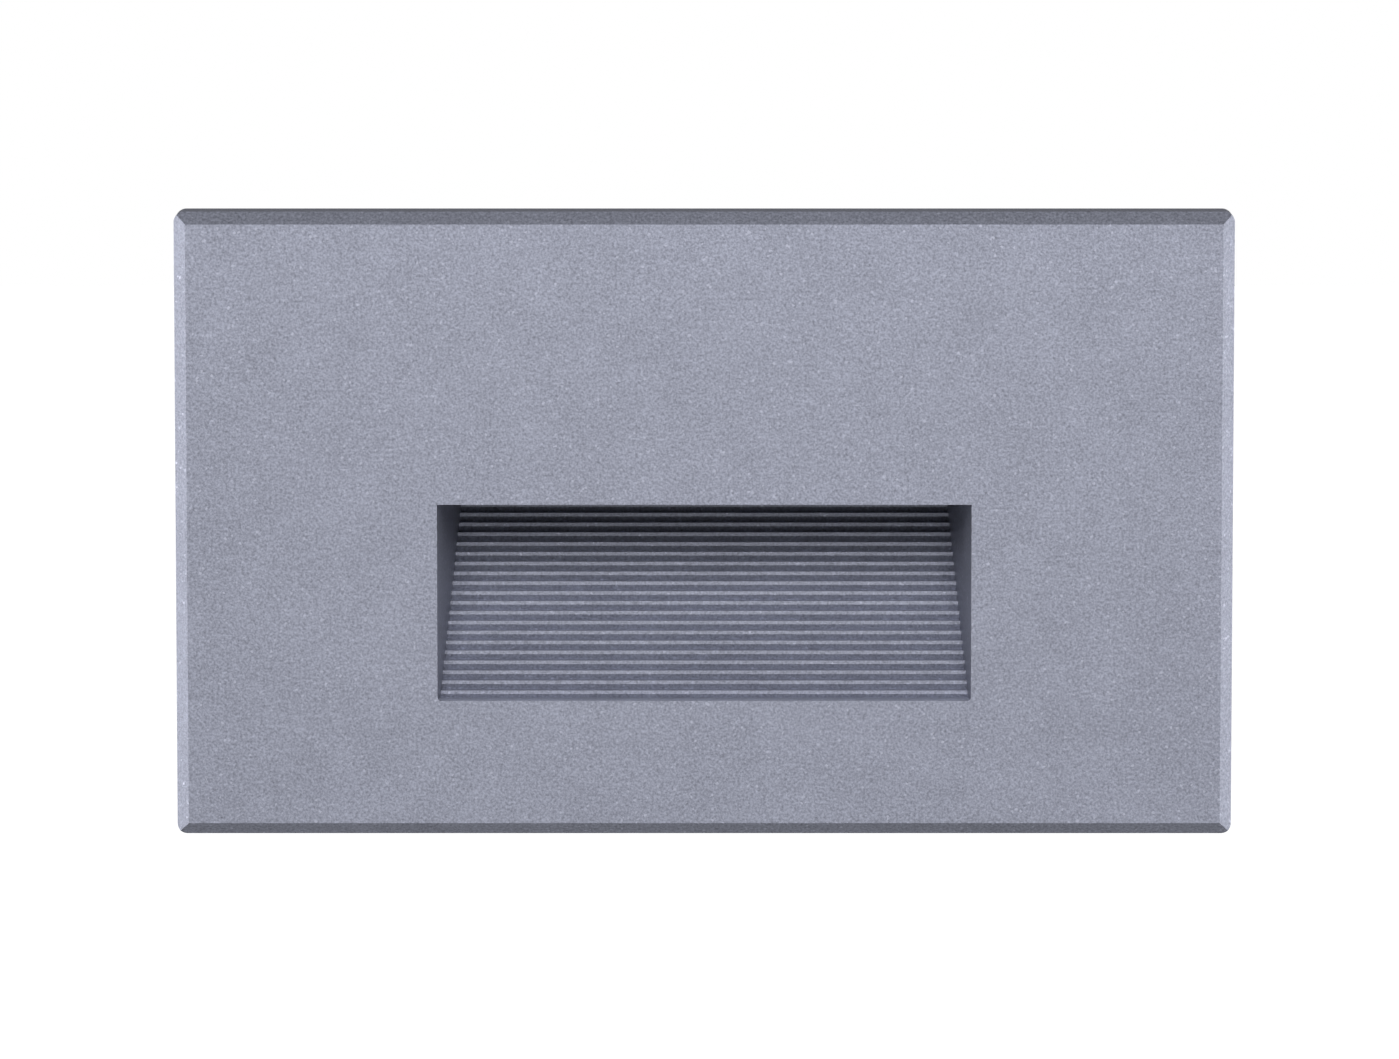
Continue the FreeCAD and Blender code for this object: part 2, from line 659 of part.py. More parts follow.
connector_back = "(%s - 0.1)" % lamp_board_rear
connector_front = "(%s - connector_depth)" % connector_back
connector_top = "(%s + connector_height)" % lamp_board_top
lead_level = "(%s + connector_height / 2)" % lamp_board_top
body = new_piece("led_connector")
extrude(body, "shell", "Z", lamp_board_top, connector_top, [
    span("connector_line - connector_width / 2", connector_front,
         "connector_line + connector_width / 2", connector_back)])
for number, side in enumerate(("-", "+"), start=1):
    extrude(body, "socket%d" % number, "Y", "%s - 1.5" % connector_back, connector_back,
            [("connector_line %s lead_pitch / 2" % side, lead_level, "lead_radius + 0.1")], True)

# ------------------------------------------------- driver housing and cover
body = new_piece("housing_gasket")
seal_inside = ["2 * (%s + 0.6)" % half for half in (housing_inside, housing_inside_rise)]
seal_outside = ["2 * (%s + flange_width - 0.4)" % half
                for half in (housing_outside, housing_outside_rise)]
extrude(body, "ring", "Y", pocket_floor, housing_front,
        [box("0", "0", *seal_outside), box("0", "0", *seal_inside)])

housing_size = ["2 * %s" % half for half in (housing_outside, housing_outside_rise)]
housing_bore = ["2 * %s" % half for half in (housing_inside, housing_inside_rise)]
body = new_piece("driver_housing")
extrude(body, "shell", "Y", housing_front, housing_back, [box("0", "0", *housing_size)])
soften(body, "shell_corners", "Fillet", "housing_corner", lambda edge: runs_along(edge, "Y"))
extrude(body, "front_flange", "Y", housing_front, flange_back, [
    box("0", "0", *["%s + 2 * flange_width" % size for size in housing_size])])
soften(body, "flange_corners", "Fillet", "housing_corner",
       lambda edge: runs_along(edge, "Y")
       and abs(edge.BoundBox.XMax) > value(housing_outside) + value("flange_width") - 1e-3)
extrude(body, "bore", "Y", housing_front, housing_back, [box("0", "0", *housing_bore)], True)
for number, (side, level) in enumerate((("", ""), ("-", ""), ("", "-"), ("-", "-")), start=1):
    inner = "%s(%s - boss_radius)" % (side, screw_line)
    outer = "%s(%s + housing_wall / 2)" % (side, housing_inside)
    low = "%s(%s - boss_radius)" % (level, screw_level)
    high = "%s(%s + housing_wall / 2)" % (level, housing_inside_rise)
    extrude(body, "pillar%d" % number, "Y", "boss_end", housing_back, [span(inner, low, outer, high)])
for number, (side, level) in enumerate((("", ""), ("-", ""), ("", "-"), ("-", "-")), start=1):
    extrude(body, "pillar_bore%d" % number, "Y", "boss_end", housing_back,
            [(side + screw_line, level + screw_level, "screw_radius + screw_clearance")], True)
rivet_places = [("spring_start - spring_foot * 0.25", "a"), ("spring_start - spring_foot * 0.72", "b")]
for side, word in (("", "right"), ("-", "left")):
    wall = sorted(("%s%s" % (side, housing_inside), "%s%s" % (side, housing_outside)), key=value)
    for place, letter in rivet_places:
        extrude(body, "rivet_hole_%s_%s" % (word, letter), "X", wall[0], wall[1],
                [(place, "0", "rivet_radius + 0.05")], True)

body = new_piece("insulation_sheet")
extrude(body, "sheet", "Y", scoop_back, "%s + sheet_thickness" % scoop_back, [
    span("-(%s - 2)" % scoop_half, "%s + 1" % shell_back_low,
         "%s - 2" % scoop_half, "%s - 0.5" % scoop_top)])

body = new_piece("cover_gasket")
cover_holes = []
for side, level in (("", ""), ("-", ""), ("", "-"), ("-", "-")):
    cover_holes.append((side + screw_line, level + screw_level, "screw_radius + screw_clearance"))
extrude(body, "ring", "Y", housing_back, cover_front, [box("0", "0", *housing_size)])
soften(body, "ring_corners", "Fillet", "housing_corner", lambda edge: runs_along(edge, "Y"))
inner_line = "(%s - boss_radius)" % screw_line
inner_level = "(%s - boss_radius)" % screw_level
extrude(body, "ring_middle", "Y", housing_back, cover_front, [[
    (inner_line, "-" + inner_level), (housing_inside, "-" + inner_level),
    (housing_inside, inner_level), (inner_line, inner_level),
    (inner_line, housing_inside_rise), ("-" + inner_line, housing_inside_rise),
    ("-" + inner_line, inner_level), ("-" + housing_inside, inner_level),
    ("-" + housing_inside, "-" + inner_level), ("-" + inner_line, "-" + inner_level),
    ("-" + inner_line, "-" + housing_inside_rise), (inner_line, "-" + housing_inside_rise)]], True)
extrude(body, "ring_holes", "Y", housing_back, cover_front, cover_holes, True)

board_screws = [("%sboard_screw_line" % side, level)
                for side in ("", "-") for level in ("board_screw_low", "board_screw_high")]
body = new_piece("rear_cover")
extrude(body, "lid", "Y", cover_front, cover_back, [box("0", "0", *housing_size)])
soften(body, "lid_corners", "Fillet", "housing_corner", lambda edge: runs_along(edge, "Y"))
soften(body, "lid_edge", "Fillet", "housing_wall / 2",
       lambda edge: edge.BoundBox.YMin > value(cover_back) - 1e-6)
extrude(body, "board_posts", "Y", board_back, "%s + 0.5" % cover_front,
        [(across, up, "small_head_radius + 0.8") for across, up in board_screws])
extrude(body, "screw_holes", "Y", cover_front, cover_back, cover_holes, True)
extrude(body, "cable_hole", "Y", cover_front, cover_back,
        [("grommet_line", "grommet_rise", "grommet_radius + 0.05")], True)
extrude(body, "post_threads", "Y", board_back, "%s + 1" % cover_front,
        [(across, up, "small_screw_radius + 0.05") for across, up in board_screws], True)

body = new_piece("cable_grommet")
lip = "grommet_radius + grommet_lip"
inner_lip = "%s - grommet_lip_thickness" % cover_front
outer_lip = "%s + grommet_lip_thickness" % cover_back
turn(body, "ring", "Y", ("grommet_line", "0", "grommet_rise"), [
    ("cable_radius", inner_lip), (lip, inner_lip), (lip, cover_front),
    ("grommet_radius", cover_front), ("grommet_radius", cover_back), (lip, cover_back),
    ("grommet_radius + grommet_lip / 2", outer_lip), ("cable_radius", outer_lip)])

body = new_piece("housing_screws")
for number, (side, level) in enumerate((("", ""), ("-", ""), ("", "-"), ("-", "-")), start=1):
    screw(body, "screw%d" % number, "Y", (side + screw_line, "0", level + screw_level), cover_back,
          "boss_end - screw_bite", "screw_radius", "screw_head_radius", "screw_head_height", "1.1")

# ------------------------------------------------------------ driver board
body = new_piece("driver_board")
extrude(body, "board", "Y", board_front, board_back,
        [span("-%s" % board_half, "-board_drop", board_half, "board_rise")]
        + [(across, up, "small_screw_radius + 0.1") for across, up in board_screws])

body = new_piece("driver_board_screws")
for number, (across, up) in enumerate(board_screws, start=1):
    screw(body, "screw%d" % number, "Y", (across, "0", up), board_front,
          "%s + 0.8" % cover_front, "small_screw_radius", "small_head_radius",
          "small_head_height", "small_slot_depth")

bobbin_front = "(%s - bobbin_base)" % board_front
core_front = "(%s - transformer_height)" % board_front
body = new_piece("transformer_bobbin")
extrude(body, "base", "Y", bobbin_front, board_front, [
    box("transformer_line", "transformer_level", "transformer_width", "transformer_length")])
soften(body, "base_corners", "Fillet", "small_screw_radius", lambda edge: runs_along(edge, "Y"))

body = new_piece("transformer_core")
limb_half = "(core_limb * 1.25)"
window_far = "(transformer_width / 2 - core_limb)"
window_low = "(%s + core_limb)" % core_front
window_high = "(%s - core_limb)" % bobbin_front
core_low = "(transformer_level - core_thickness / 2)"
core_high = "(transformer_level + core_thickness / 2)"
extrude(body, "block", "Z", core_low, core_high, [
    span("transformer_line - transformer_width / 2", core_front,
         "transformer_line + transformer_width / 2", bobbin_front),
    span("transformer_line - %s" % window_far, window_low,
         "transformer_line - %s" % limb_half, window_high),
    span("transformer_line + %s" % limb_half, window_low,
         "transformer_line + %s" % window_far, window_high)])

body = new_piece("transformer_winding")
coil_inside = ["2 * (%s + winding_gap)" % limb_half, "core_thickness + 2 * winding_gap"]
coil_outside = ["%s + 2 * winding_build" % inside for inside in coil_inside]
extrude(body, "coil", "Y", "%s + winding_gap" % window_low, "%s - winding_gap" % window_high,
        [box("transformer_line", "transformer_level", *coil_outside)])
soften(body, "coil_corners", "Fillet", "winding_build / 2", lambda edge: runs_along(edge, "Y"))
extrude(body, "coil_bore", "Y", "%s + winding_gap" % window_low, "%s - winding_gap" % window_high,
        [box("transformer_line", "transformer_level", *coil_inside)], True)


def capacitor(body, name, across, up):
    # a can with its crimp groove near the foot and a rounded shoulder
    foot = board_front
    top = "(%s - capacitor_height)" % foot
    turn(body, name, "Y", (across, "0", up), [
        ("0", foot), ("capacitor_radius - capacitor_groove", foot),
        ("capacitor_radius", "%s - capacitor_groove" % foot),
        ("capacitor_radius", "%s - 3 * capacitor_groove" % foot),
        ("capacitor_radius - capacitor_groove", "%s - 4 * capacitor_groove" % foot),
        ("capacitor_radius", "%s - 5 * capacitor_groove" % foot),
        ("capacitor_radius", "%s + capacitor_groove" % top),
        ("capacitor_radius - capacitor_groove", top), ("0", top)])


body = new_piece("bulk_capacitors")
capacitor(body, "low_can", "-(%s - low_can_inset)" % board_half, "low_can_level")
capacitor(body, "high_can", "-(%s - high_can_inset)" % board_half, "high_can_level")
body = new_piece("output_capacitor")
capacitor(body, "can", "%s - low_can_inset" % board_half, "low_can_level")

body = new_piece("film_capacitor")
extrude(body, "block", "Y", "%s - film_height" % board_front, board_front, [
    box("%s - film_inset" % board_half, "film_level", "film_width", "film_depth")])
soften(body, "block_corners", "Fillet", "lens_seal", lambda edge: runs_along(edge, "Y"))

body = new_piece("varistor")
turn(body, "disc", "X", ("0", "%s - varistor_radius" % board_front, "varistor_level"), [
    ("0", "varistor_line"), ("varistor_radius - varistor_edge", "varistor_line"),
    ("varistor_radius", "varistor_line + varistor_edge"),
    ("varistor_radius", "varistor_line + varistor_thickness - varistor_edge"),
    ("varistor_radius - varistor_edge", "varistor_line + varistor_thickness"),
    ("0", "varistor_line + varistor_thickness")])

body = new_piece("fuse")
turn(body, "tube", "Y", ("%s - fuse_inset" % board_half, "0", "fuse_level"), [
    ("0", board_front), ("fuse_radius", board_front),
    ("fuse_radius", "%s - fuse_cap" % board_front),
    ("fuse_radius * 0.9", "%s - fuse_cap" % board_front),
    ("fuse_radius * 0.9", "%s - fuse_height + fuse_cap" % board_front),
    ("fuse_radius", "%s - fuse_height + fuse_cap" % board_front),
    ("fuse_radius", "%s - fuse_height" % board_front), ("0", "%s - fuse_height" % board_front)])

body = new_piece("choke")
turn(body, "drum", "Y", ("choke_line", "0", "choke_level"), [
    ("0", board_front), ("choke_radius", board_front),
    ("choke_radius", "%s - choke_flange" % board_front),
    ("choke_radius * 0.87", "%s - 1.25 * choke_flange" % board_front),
    ("choke_radius * 0.87", "%s - choke_height + 1.25 * choke_flange" % board_front),
    ("choke_radius", "%s - choke_height + choke_flange" % board_front),
    ("choke_radius", "%s - choke_height" % board_front), ("0", "%s - choke_height" % board_front)])

body = new_piece("bridge_rectifier")
bridge_front = "(%s - bridge_height)" % board_front
extrude(body, "chip", "Y", bridge_front, board_front, [
    box("-(%s - bridge_inset)" % board_half, "bridge_level", "bridge_length", "bridge_width")])
soften(body, "chip_edges", "Chamfer", "chip_edge",
       lambda edge: edge.BoundBox.YMax < value(bridge_front) + 1e-6)

body = new_piece("controller_chip")
chip_front = "(%s - chip_height)" % board_front
extrude(body, "chip", "Y", chip_front, board_front, [
    box("chip_line", "chip_level", "chip_length", "chip_width")])
soften(body, "chip_edges", "Chamfer", "chip_edge",
       lambda edge: edge.BoundBox.YMax < value(chip_front) + 1e-6)

terminal_high = "(terminal_low + terminal_rise)"
terminal_front = "(%s - terminal_depth)" % board_front
well_floor = "(%s + terminal_well_depth)" % terminal_front
well_level = "(terminal_low + terminal_rise / 2)"
poles = ["(terminal_line + %d * terminal_pitch)" % step for step in (-1, 0, 1)]
body = new_piece("terminal_block")
extrude(body, "block", "Y", terminal_front, board_front, [
    span("terminal_line - terminal_width / 2", "terminal_low",
         "terminal_line + terminal_width / 2", terminal_high)])
for number, pole in enumerate(poles):
    extrude(body, "screw_well%d" % number, "Y", terminal_front, well_floor,
            [(pole, well_level, "terminal_screw_radius + 0.2")], True)
    extrude(body, "wire_hole%d" % number, "Z", "%s - wire_hole_depth" % terminal_high, terminal_high,
            [(pole, "%s - wire_hole_line" % board_front, "wire_hole_radius")], True)

body = new_piece("terminal_screws")
screw_face = "(%s + terminal_screw_sink)" % terminal_front
for number, pole in enumerate(poles):
    extrude(body, "screw%d" % number, "Y", screw_face, well_floor,
            [(pole, well_level, "terminal_screw_radius")])
    extrude(body, "driver_slot%d" % number, "Y", screw_face,
            "%s + small_slot_depth" % screw_face,
            [box(pole, well_level, "terminal_screw_radius * 3", "terminal_screw_radius * 0.4")], True)

plug_front = "(%s - plug_depth)" % board_front
body = new_piece("output_connector")
extrude(body, "shell", "Y", plug_front, board_front, [
    box("connector_line", "plug_level", "connector_width", "plug_height")])
for number, side in enumerate(("-", "+"), start=1):
    extrude(body, "socket%d" % number, "Y", plug_front, "%s + 1.5" % plug_front,
            [("connector_line %s lead_pitch / 2" % side, "plug_level", "lead_radius + 0.1")], True)


def lead(name, across):
    # a lead from the lamp board's connector, over the scoop's back edge, to the driver board:
    # straight runs joined by the largest tangent arcs that the shorter run leaves room for
    start = value(connector_back) - 1.4
    end = value(plug_front) + 1.4
    run = (end - start) * 0.36
    high = value(lead_level)
    low = value("plug_level")
    points = [Vector(across, start, high), Vector(across, start + run, high),
              Vector(across, end - run, low), Vector(across, end, low)]
    edges = []
    length = 0
    here = points[0]
    for before, corner, after in zip(points, points[1:], points[2:]):
        arriving = (corner - before).normalize()
        leaving = (after - corner).normalize()
        half_turn = arriving.getAngle(leaving) / 2
        reach = 0.45 * min((corner - before).Length, (after - corner).Length)
        radius = reach / math.tan(half_turn)
        first = corner - arriving * reach
        last = corner + leaving * reach
        depth = radius / math.cos(half_turn) - radius
        middle = corner + (leaving - arriving).normalize() * depth
        edges.append(Part.LineSegment(here, first).toShape())
        edges.append(Part.Arc(first, middle, last).toShape())
        length += (first - here).Length + radius * 2 * half_turn
        print("%s bend radius %.2f mm" % (name, radius))
        here = last
    edges.append(Part.LineSegment(here, points[-1]).toShape())
    length += (points[-1] - here).Length
    route = Part.Wire(edges)
    ring = Part.Wire(Part.Circle(points[0], Vector(0, 1, 0), value("lead_radius")).toShape())
    tube = route.makePipeShell([ring], True, False)
    section = math.pi * value("lead_radius") ** 2
    if abs(tube.Volume - section * length) > 0.01 * section * length:
        raise ValueError(name + " is not a whole tube")
    piece = doc.addObject("Part::Feature", name)
    piece.Shape = tube
    piece.Placement = Placement(Vector(0, 0, 0), Rotation(0, 0, 0))
    nodes.append(piece)


lead("red_lead", value("connector_line - lead_pitch / 2"))
lead("black_lead", value("connector_line + lead_pitch / 2"))

# ------------------------------------------------- blade springs and rivets
for side, word in (("", "right"), ("-", "left")):
    foot = "%s" % housing_outside
    crest = "(%s - spring_gap)" % grip_inside
    tip = "(%s + spring_thickness + 0.3)" % housing_outside
    outline = [
        (foot, "spring_start"), ("%s + spring_thickness" % foot, "spring_start"),
        ("%s + spring_thickness" % foot, "spring_start - spring_foot"), (crest, "spring_crest"),
        (tip, "spring_tip"), ("%s - spring_thickness" % tip, "spring_tip"),
        ("%s - spring_thickness" % crest, "spring_crest"), (foot, "spring_start - spring_foot")]
    body = new_piece(word + "_spring")
    extrude(body, "blade", "Z", "-spring_height / 2", "spring_height / 2",
            [[("%s(%s)" % (side, across), up) for across, up in outline]])
    wall = sorted(("%s(%s)" % (side, foot), "%s(%s + spring_thickness)" % (side, foot)), key=value)
    for place, letter in rivet_places:
        extrude(body, "rivet_hole_" + letter, "X", wall[0], wall[1],
                [(place, "0", "rivet_radius + 0.05")], True)

body = new_piece("spring_rivets")
for side, word in (("", "right"), ("-", "left")):
    for place, letter in rivet_places:
        seat = "%s + spring_thickness" % housing_outside
        turn(body, "rivet_%s_%s" % (word, letter), "X", ("0", place, "0"), [
            ("0", "%s(%s - rivet_head_height)" % (side, housing_inside)),
            ("rivet_head_radius * 0.8", "%s(%s - rivet_head_height)" % (side, housing_inside)),
            ("rivet_head_radius", "%s%s" % (side, housing_inside)),
            ("rivet_radius", "%s%s" % (side, housing_inside)),
            ("rivet_radius", "%s(%s)" % (side, seat)),
            ("rivet_head_radius", "%s(%s)" % (side, seat)),
            ("rivet_head_radius * 0.6", "%s(%s + rivet_head_height)" % (side, seat)),
            ("0", "%s(%s + rivet_head_height)" % (side, seat))])

# ------------------------------------------------------------------ checks
doc.recompute()
for item in doc.Objects:
    if "Invalid" in item.State or "Error" in item.State:
        raise ValueError(item.Name + " has failed")
for piece in nodes:
    piece.Label = piece.Name
    if piece.Shape.isNull() or not piece.Shape.isValid():
        raise ValueError(piece.Name + " is not a valid shape")

os.makedirs("parts", exist_ok=True)
for piece in nodes:
    piece.Shape.exportStep("parts/%s.step" % piece.Label)
    print("%-22s %3d solid(s) %10.2f mm3" % (piece.Label, len(piece.Shape.Solids), piece.Shape.Volume))
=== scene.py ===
import json
import math

import bpy
from mathutils import Euler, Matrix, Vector

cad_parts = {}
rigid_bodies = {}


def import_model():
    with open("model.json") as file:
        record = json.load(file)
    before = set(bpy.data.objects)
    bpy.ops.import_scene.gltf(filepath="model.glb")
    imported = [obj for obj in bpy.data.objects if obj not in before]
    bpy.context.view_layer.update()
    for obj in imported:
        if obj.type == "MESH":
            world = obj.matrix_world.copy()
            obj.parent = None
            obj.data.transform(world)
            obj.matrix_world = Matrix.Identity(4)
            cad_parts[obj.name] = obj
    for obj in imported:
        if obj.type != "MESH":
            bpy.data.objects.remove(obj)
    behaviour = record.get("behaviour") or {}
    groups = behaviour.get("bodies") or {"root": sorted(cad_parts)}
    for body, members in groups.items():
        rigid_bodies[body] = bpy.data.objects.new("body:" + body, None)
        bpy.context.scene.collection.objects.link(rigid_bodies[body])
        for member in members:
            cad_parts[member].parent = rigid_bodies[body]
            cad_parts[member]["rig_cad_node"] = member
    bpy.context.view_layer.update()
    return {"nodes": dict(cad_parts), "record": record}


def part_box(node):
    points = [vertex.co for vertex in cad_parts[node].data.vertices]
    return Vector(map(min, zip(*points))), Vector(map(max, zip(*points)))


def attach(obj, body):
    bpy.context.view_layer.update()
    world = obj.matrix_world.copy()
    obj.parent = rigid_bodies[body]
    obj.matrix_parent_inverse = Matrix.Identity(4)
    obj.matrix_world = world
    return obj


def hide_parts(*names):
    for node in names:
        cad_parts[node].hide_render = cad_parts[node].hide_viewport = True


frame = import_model()
nodes = frame["nodes"]
print("frame loaded, nodes:", len(nodes))


class Wire:
    # one socket of a material; + - * and / on it add Math nodes
    def __init__(self, finish, socket):
        self.finish = finish
        self.socket = socket

    def math(self, operation, *values):
        return self.finish.node("ShaderNodeMath", {"operation": operation}, dict(enumerate(values)))

    def __add__(self, other):
        return self.math("ADD", self, other)

    __radd__ = __add__

    def __sub__(self, other):
        return self.math("SUBTRACT", self, other)

    def __rsub__(self, other):
        return self.math("SUBTRACT", other, self)

    def __mul__(self, other):
        return self.math("MULTIPLY", self, other)

    __rmul__ = __mul__

    def __truediv__(self, other):
        return self.math("DIVIDE", self, other)

    def __rtruediv__(self, other):
        return self.math("DIVIDE", other, self)

    def __abs__(self):
        return self.math("ABSOLUTE", self)

    def part(self, name):
        # another output of the same node
        return Wire(self.finish, self.socket.node.outputs[name])

    def ramp(self, low, high):
        # 0 up to low, 1 from high on, smooth between
        return self.finish.node("ShaderNodeMapRange", {"interpolation_type": "SMOOTHSTEP"},
                                {"Value": self, "From Min": low, "From Max": high})


class Finish:
    # the nodes of a new material, or of the world, being put together
    def __init__(self, owner):
        self.material = bpy.data.materials.new(owner) if isinstance(owner, str) else owner
        self.material.use_nodes = True
        self.tree = self.material.node_tree
        self.tree.nodes.clear()

    def node(self, kind, settings=None, inputs=None, output=0):
        made = self.tree.nodes.new(kind)
        for key, value in (settings or {}).items():
            setattr(made, key, value)
        for key, value in (inputs or {}).items():
            if isinstance(value, Wire):
                self.tree.links.new(value.socket, made.inputs[key])
            else:
                made.inputs[key].default_value = value
        return Wire(self, made.outputs[output]) if made.outputs else None

    def place(self):
        return self.node("ShaderNodeTexCoord", output="Object")

    def axes(self, place):
        parts = self.node("ShaderNodeSeparateXYZ", inputs={0: place})
        return parts, parts.part("Y"), parts.part("Z")

    def noise(self, place, size, detail=2.0):
        return self.node("ShaderNodeTexNoise", inputs={
            "Vector": place, "Scale": 1 / size, "Detail": detail})

    def cells(self, place, size, output="Distance"):
        return self.node("ShaderNodeTexVoronoi", inputs={"Vector": place, "Scale": 1 / size},
                         output=output)

    def cellShade(self, place, size):
        # a random number for each cell
        return self.node("ShaderNodeSeparateColor", inputs={0: self.cells(place, size, "Color")})

    def stretch(self, place, sizes):
        return self.node("ShaderNodeMapping", inputs={
            "Vector": place, "Scale": [1 / size for size in sizes]})

    def tint(self, colour, shade):
        return self.node("ShaderNodeVectorMath", {"operation": "SCALE"},
                         {0: colour, "Scale": shade})

    def mix(self, factor, first, second):
        sides = [side + (1,) if isinstance(side, tuple) else side for side in (first, second)]
        return self.node("ShaderNodeMix", {"data_type": "RGBA"},
                         {0: factor, 6: sides[0], 7: sides[1]}, 2)

    def bump(self, height, depth):
        return self.node("ShaderNodeBump", inputs={"Height": height, "Distance": depth})

    def surface(self, **sockets):
        names = {"colour": "Base Color", "metal": "Metallic", "rough": "Roughness",
                 "normal": "Normal", "coat": "Coat Weight", "clear": "Transmission Weight",
                 "ior": "IOR", "under": "Subsurface Weight", "underScale": "Subsurface Scale"}
        shader = self.node("ShaderNodeBsdfPrincipled",
                           inputs={names[key]: value for key, value in sockets.items()})
        self.node("ShaderNodeOutputMaterial", inputs={"Surface": shader})
        return self.material


powderCoat = {
    "colour": (0.30, 0.314, 0.386), "grainSize": 0.00029, "grainShare": 1.2,
    "dustSize": 0.00015, "dustShare": 0.55, "cloudSize": 0.0045, "cloudShare": 0.22,
    "fleckSize": 0.00024, "fleckShare": 0.03, "fleckColour": (0.44, 0.455, 0.55),
    "metal": 0.55, "rough": 0.46, "peelSize": 0.0009, "peelDepth": 0.000030,
}


def powderCoatFinish(look):
    finish = Finish("metallic_powder_coat")
    place = finish.place()
    grain = finish.noise(place, look["grainSize"]) - 0.5
    dust = finish.noise(place, look["dustSize"], 1) - 0.5
    cloud = finish.noise(place, look["cloudSize"], 3) - 0.5
    shade = 1 + grain * look["grainShare"] + dust * look["dustShare"] + cloud * look["cloudShare"]
    fleck = finish.cellShade(place, look["fleckSize"]).ramp(1 - look["fleckShare"], 1.0)
    peel = finish.noise(place, look["peelSize"], 3)
    return finish.surface(
        colour=finish.mix(fleck, finish.tint(look["colour"], shade), look["fleckColour"]),
        metal=look["metal"], rough=look["rough"] + grain * 0.25 - fleck * 0.08,
        normal=finish.bump(peel + grain * 0.35 + dust * 0.12, look["peelDepth"]))


def metalFinish(name, look):
    # rolled, turned or drawn metal: fine lines along the sizes' longest axis, patches, scratches
    finish = Finish(name)
    place = finish.place()
    lines = finish.noise(finish.stretch(place, look["lines"]), 1, 3)
    patches = finish.noise(place, look["patchSize"], 3)
    scratch = finish.noise(finish.stretch(place, [size * 2.3 for size in look["lines"]]), 1, 1)
    nick = scratch.ramp(0.68, 0.74)
    crystal = finish.cellShade(place, look["crystalSize"])
    shade = (0.80 + lines * 0.22 + (patches - 0.5) * look["patchShare"]
             + (crystal - 0.5) * look["crystalShare"])
    colour = finish.mix(patches.ramp(0.35, 0.7), finish.tint(look["colour"], shade),
                        finish.tint(look["second"], shade))
    return finish.surface(
        colour=colour, metal=1.0,
        rough=look["rough"] + (lines - 0.5) * 0.25 + (patches - 0.5) * 0.2 + nick * 0.1,
        normal=finish.bump(lines + nick * 0.6, look["lineDepth"]))


def mouldedFinish(name, look):
    # moulded plastic, rubber or foam: a skin grain, slow shade changes and a few specks
    finish = Finish(name)
    place = finish.place()
    skin = finish.cells(place, look["grainSize"])
    fine = finish.noise(place, look["grainSize"] * 0.45)
    cloud = finish.noise(place, look["cloudSize"], 3)
    speck = finish.cellShade(place, look["grainSize"] * 1.3).ramp(1 - look["speckShare"], 1.0)
    shade = (1 + (cloud - 0.5) * look["cloudShare"] + (fine - 0.5) * look["fineShare"]
             + (skin - 0.4) * 0.25)
    sockets = dict(look.get("sockets", {}))
    return finish.surface(
        colour=finish.mix(speck, finish.tint(look["colour"], shade), look["speckColour"]),
        rough=look["rough"] + (fine - 0.5) * 0.2 + (cloud - 0.5) * 0.15,
        normal=finish.bump(skin + fine * 0.6, look["grainDepth"]), **sockets)


rolledZinc = {"colour": (0.60, 0.62, 0.64), "second": (0.56, 0.57, 0.56), "rough": 0.36,
              "lines": (0.012, 0.0004, 0.00018), "lineDepth": 0.000012, "patchSize": 0.011,
              "patchShare": 0.30, "crystalSize": 0.0011, "crystalShare": 0.10}
screwZinc = dict(rolledZinc, colour=(0.62, 0.62, 0.62), second=(0.55, 0.55, 0.53), rough=0.30,
                 lines=(0.0007, 0.0007, 0.0007), patchSize=0.002, crystalSize=0.0003)
earthGreen = dict(screwZinc, colour=(0.05, 0.36, 0.12), second=(0.08, 0.44, 0.13), rough=0.32)
springStrip = dict(rolledZinc, colour=(0.50, 0.50, 0.51), second=(0.44, 0.42, 0.40), rough=0.27,
                   lines=(0.0004, 0.010, 0.00012), patchSize=0.006, crystalShare=0.03)
spreaderBar = dict(rolledZinc, colour=(0.75, 0.76, 0.77), second=(0.70, 0.71, 0.72), rough=0.40,
                   lines=(0.02, 0.00025, 0.00025), crystalShare=0.02)

blackMoulding = {"colour": (0.030, 0.031, 0.033), "rough": 0.52, "grainSize": 0.00040,
                 "grainDepth": 0.00005, "cloudSize": 0.012, "cloudShare": 0.5, "fineShare": 0.5,
                 "speckShare": 0.006, "speckColour": (0.085, 0.085, 0.09)}
whiteMoulding = dict(blackMoulding, colour=(0.80, 0.80, 0.77), rough=0.42, cloudShare=0.10,
                     fineShare=0.08, speckColour=(0.6, 0.58, 0.52))
greenMoulding = dict(blackMoulding, colour=(0.045, 0.30, 0.10), rough=0.40, cloudShare=0.25,
                     fineShare=0.2, speckColour=(0.10, 0.42, 0.18))
yellowBox = dict(blackMoulding, colour=(0.72, 0.47, 0.06), rough=0.38, cloudShare=0.2,
                 fineShare=0.15, speckColour=(0.5, 0.3, 0.05))
closedFoam = {"colour": (0.040, 0.040, 0.043), "rough": 0.93, "grainSize": 0.00055,
              "grainDepth": 0.00022, "cloudSize": 0.006, "cloudShare": 0.5, "fineShare": 0.8,
              "speckShare": 0.03, "speckColour": (0.11, 0.11, 0.115)}
siliconeRubber = {"colour": (0.66, 0.66, 0.63), "rough": 0.46, "grainSize": 0.0008,
                  "grainDepth": 0.00002, "cloudSize": 0.004, "cloudShare": 0.15, "fineShare": 0.1,
                  "speckShare": 0.01, "speckColour": (0.42, 0.41, 0.38),
                  "sockets": {"under": 0.3, "underScale": 0.001}}
blackRubber = dict(blackMoulding, colour=(0.022, 0.022, 0.023), rough=0.62, grainSize=0.0006,
                   grainDepth=0.00003, speckShare=0.02, speckColour=(0.06, 0.06, 0.062))
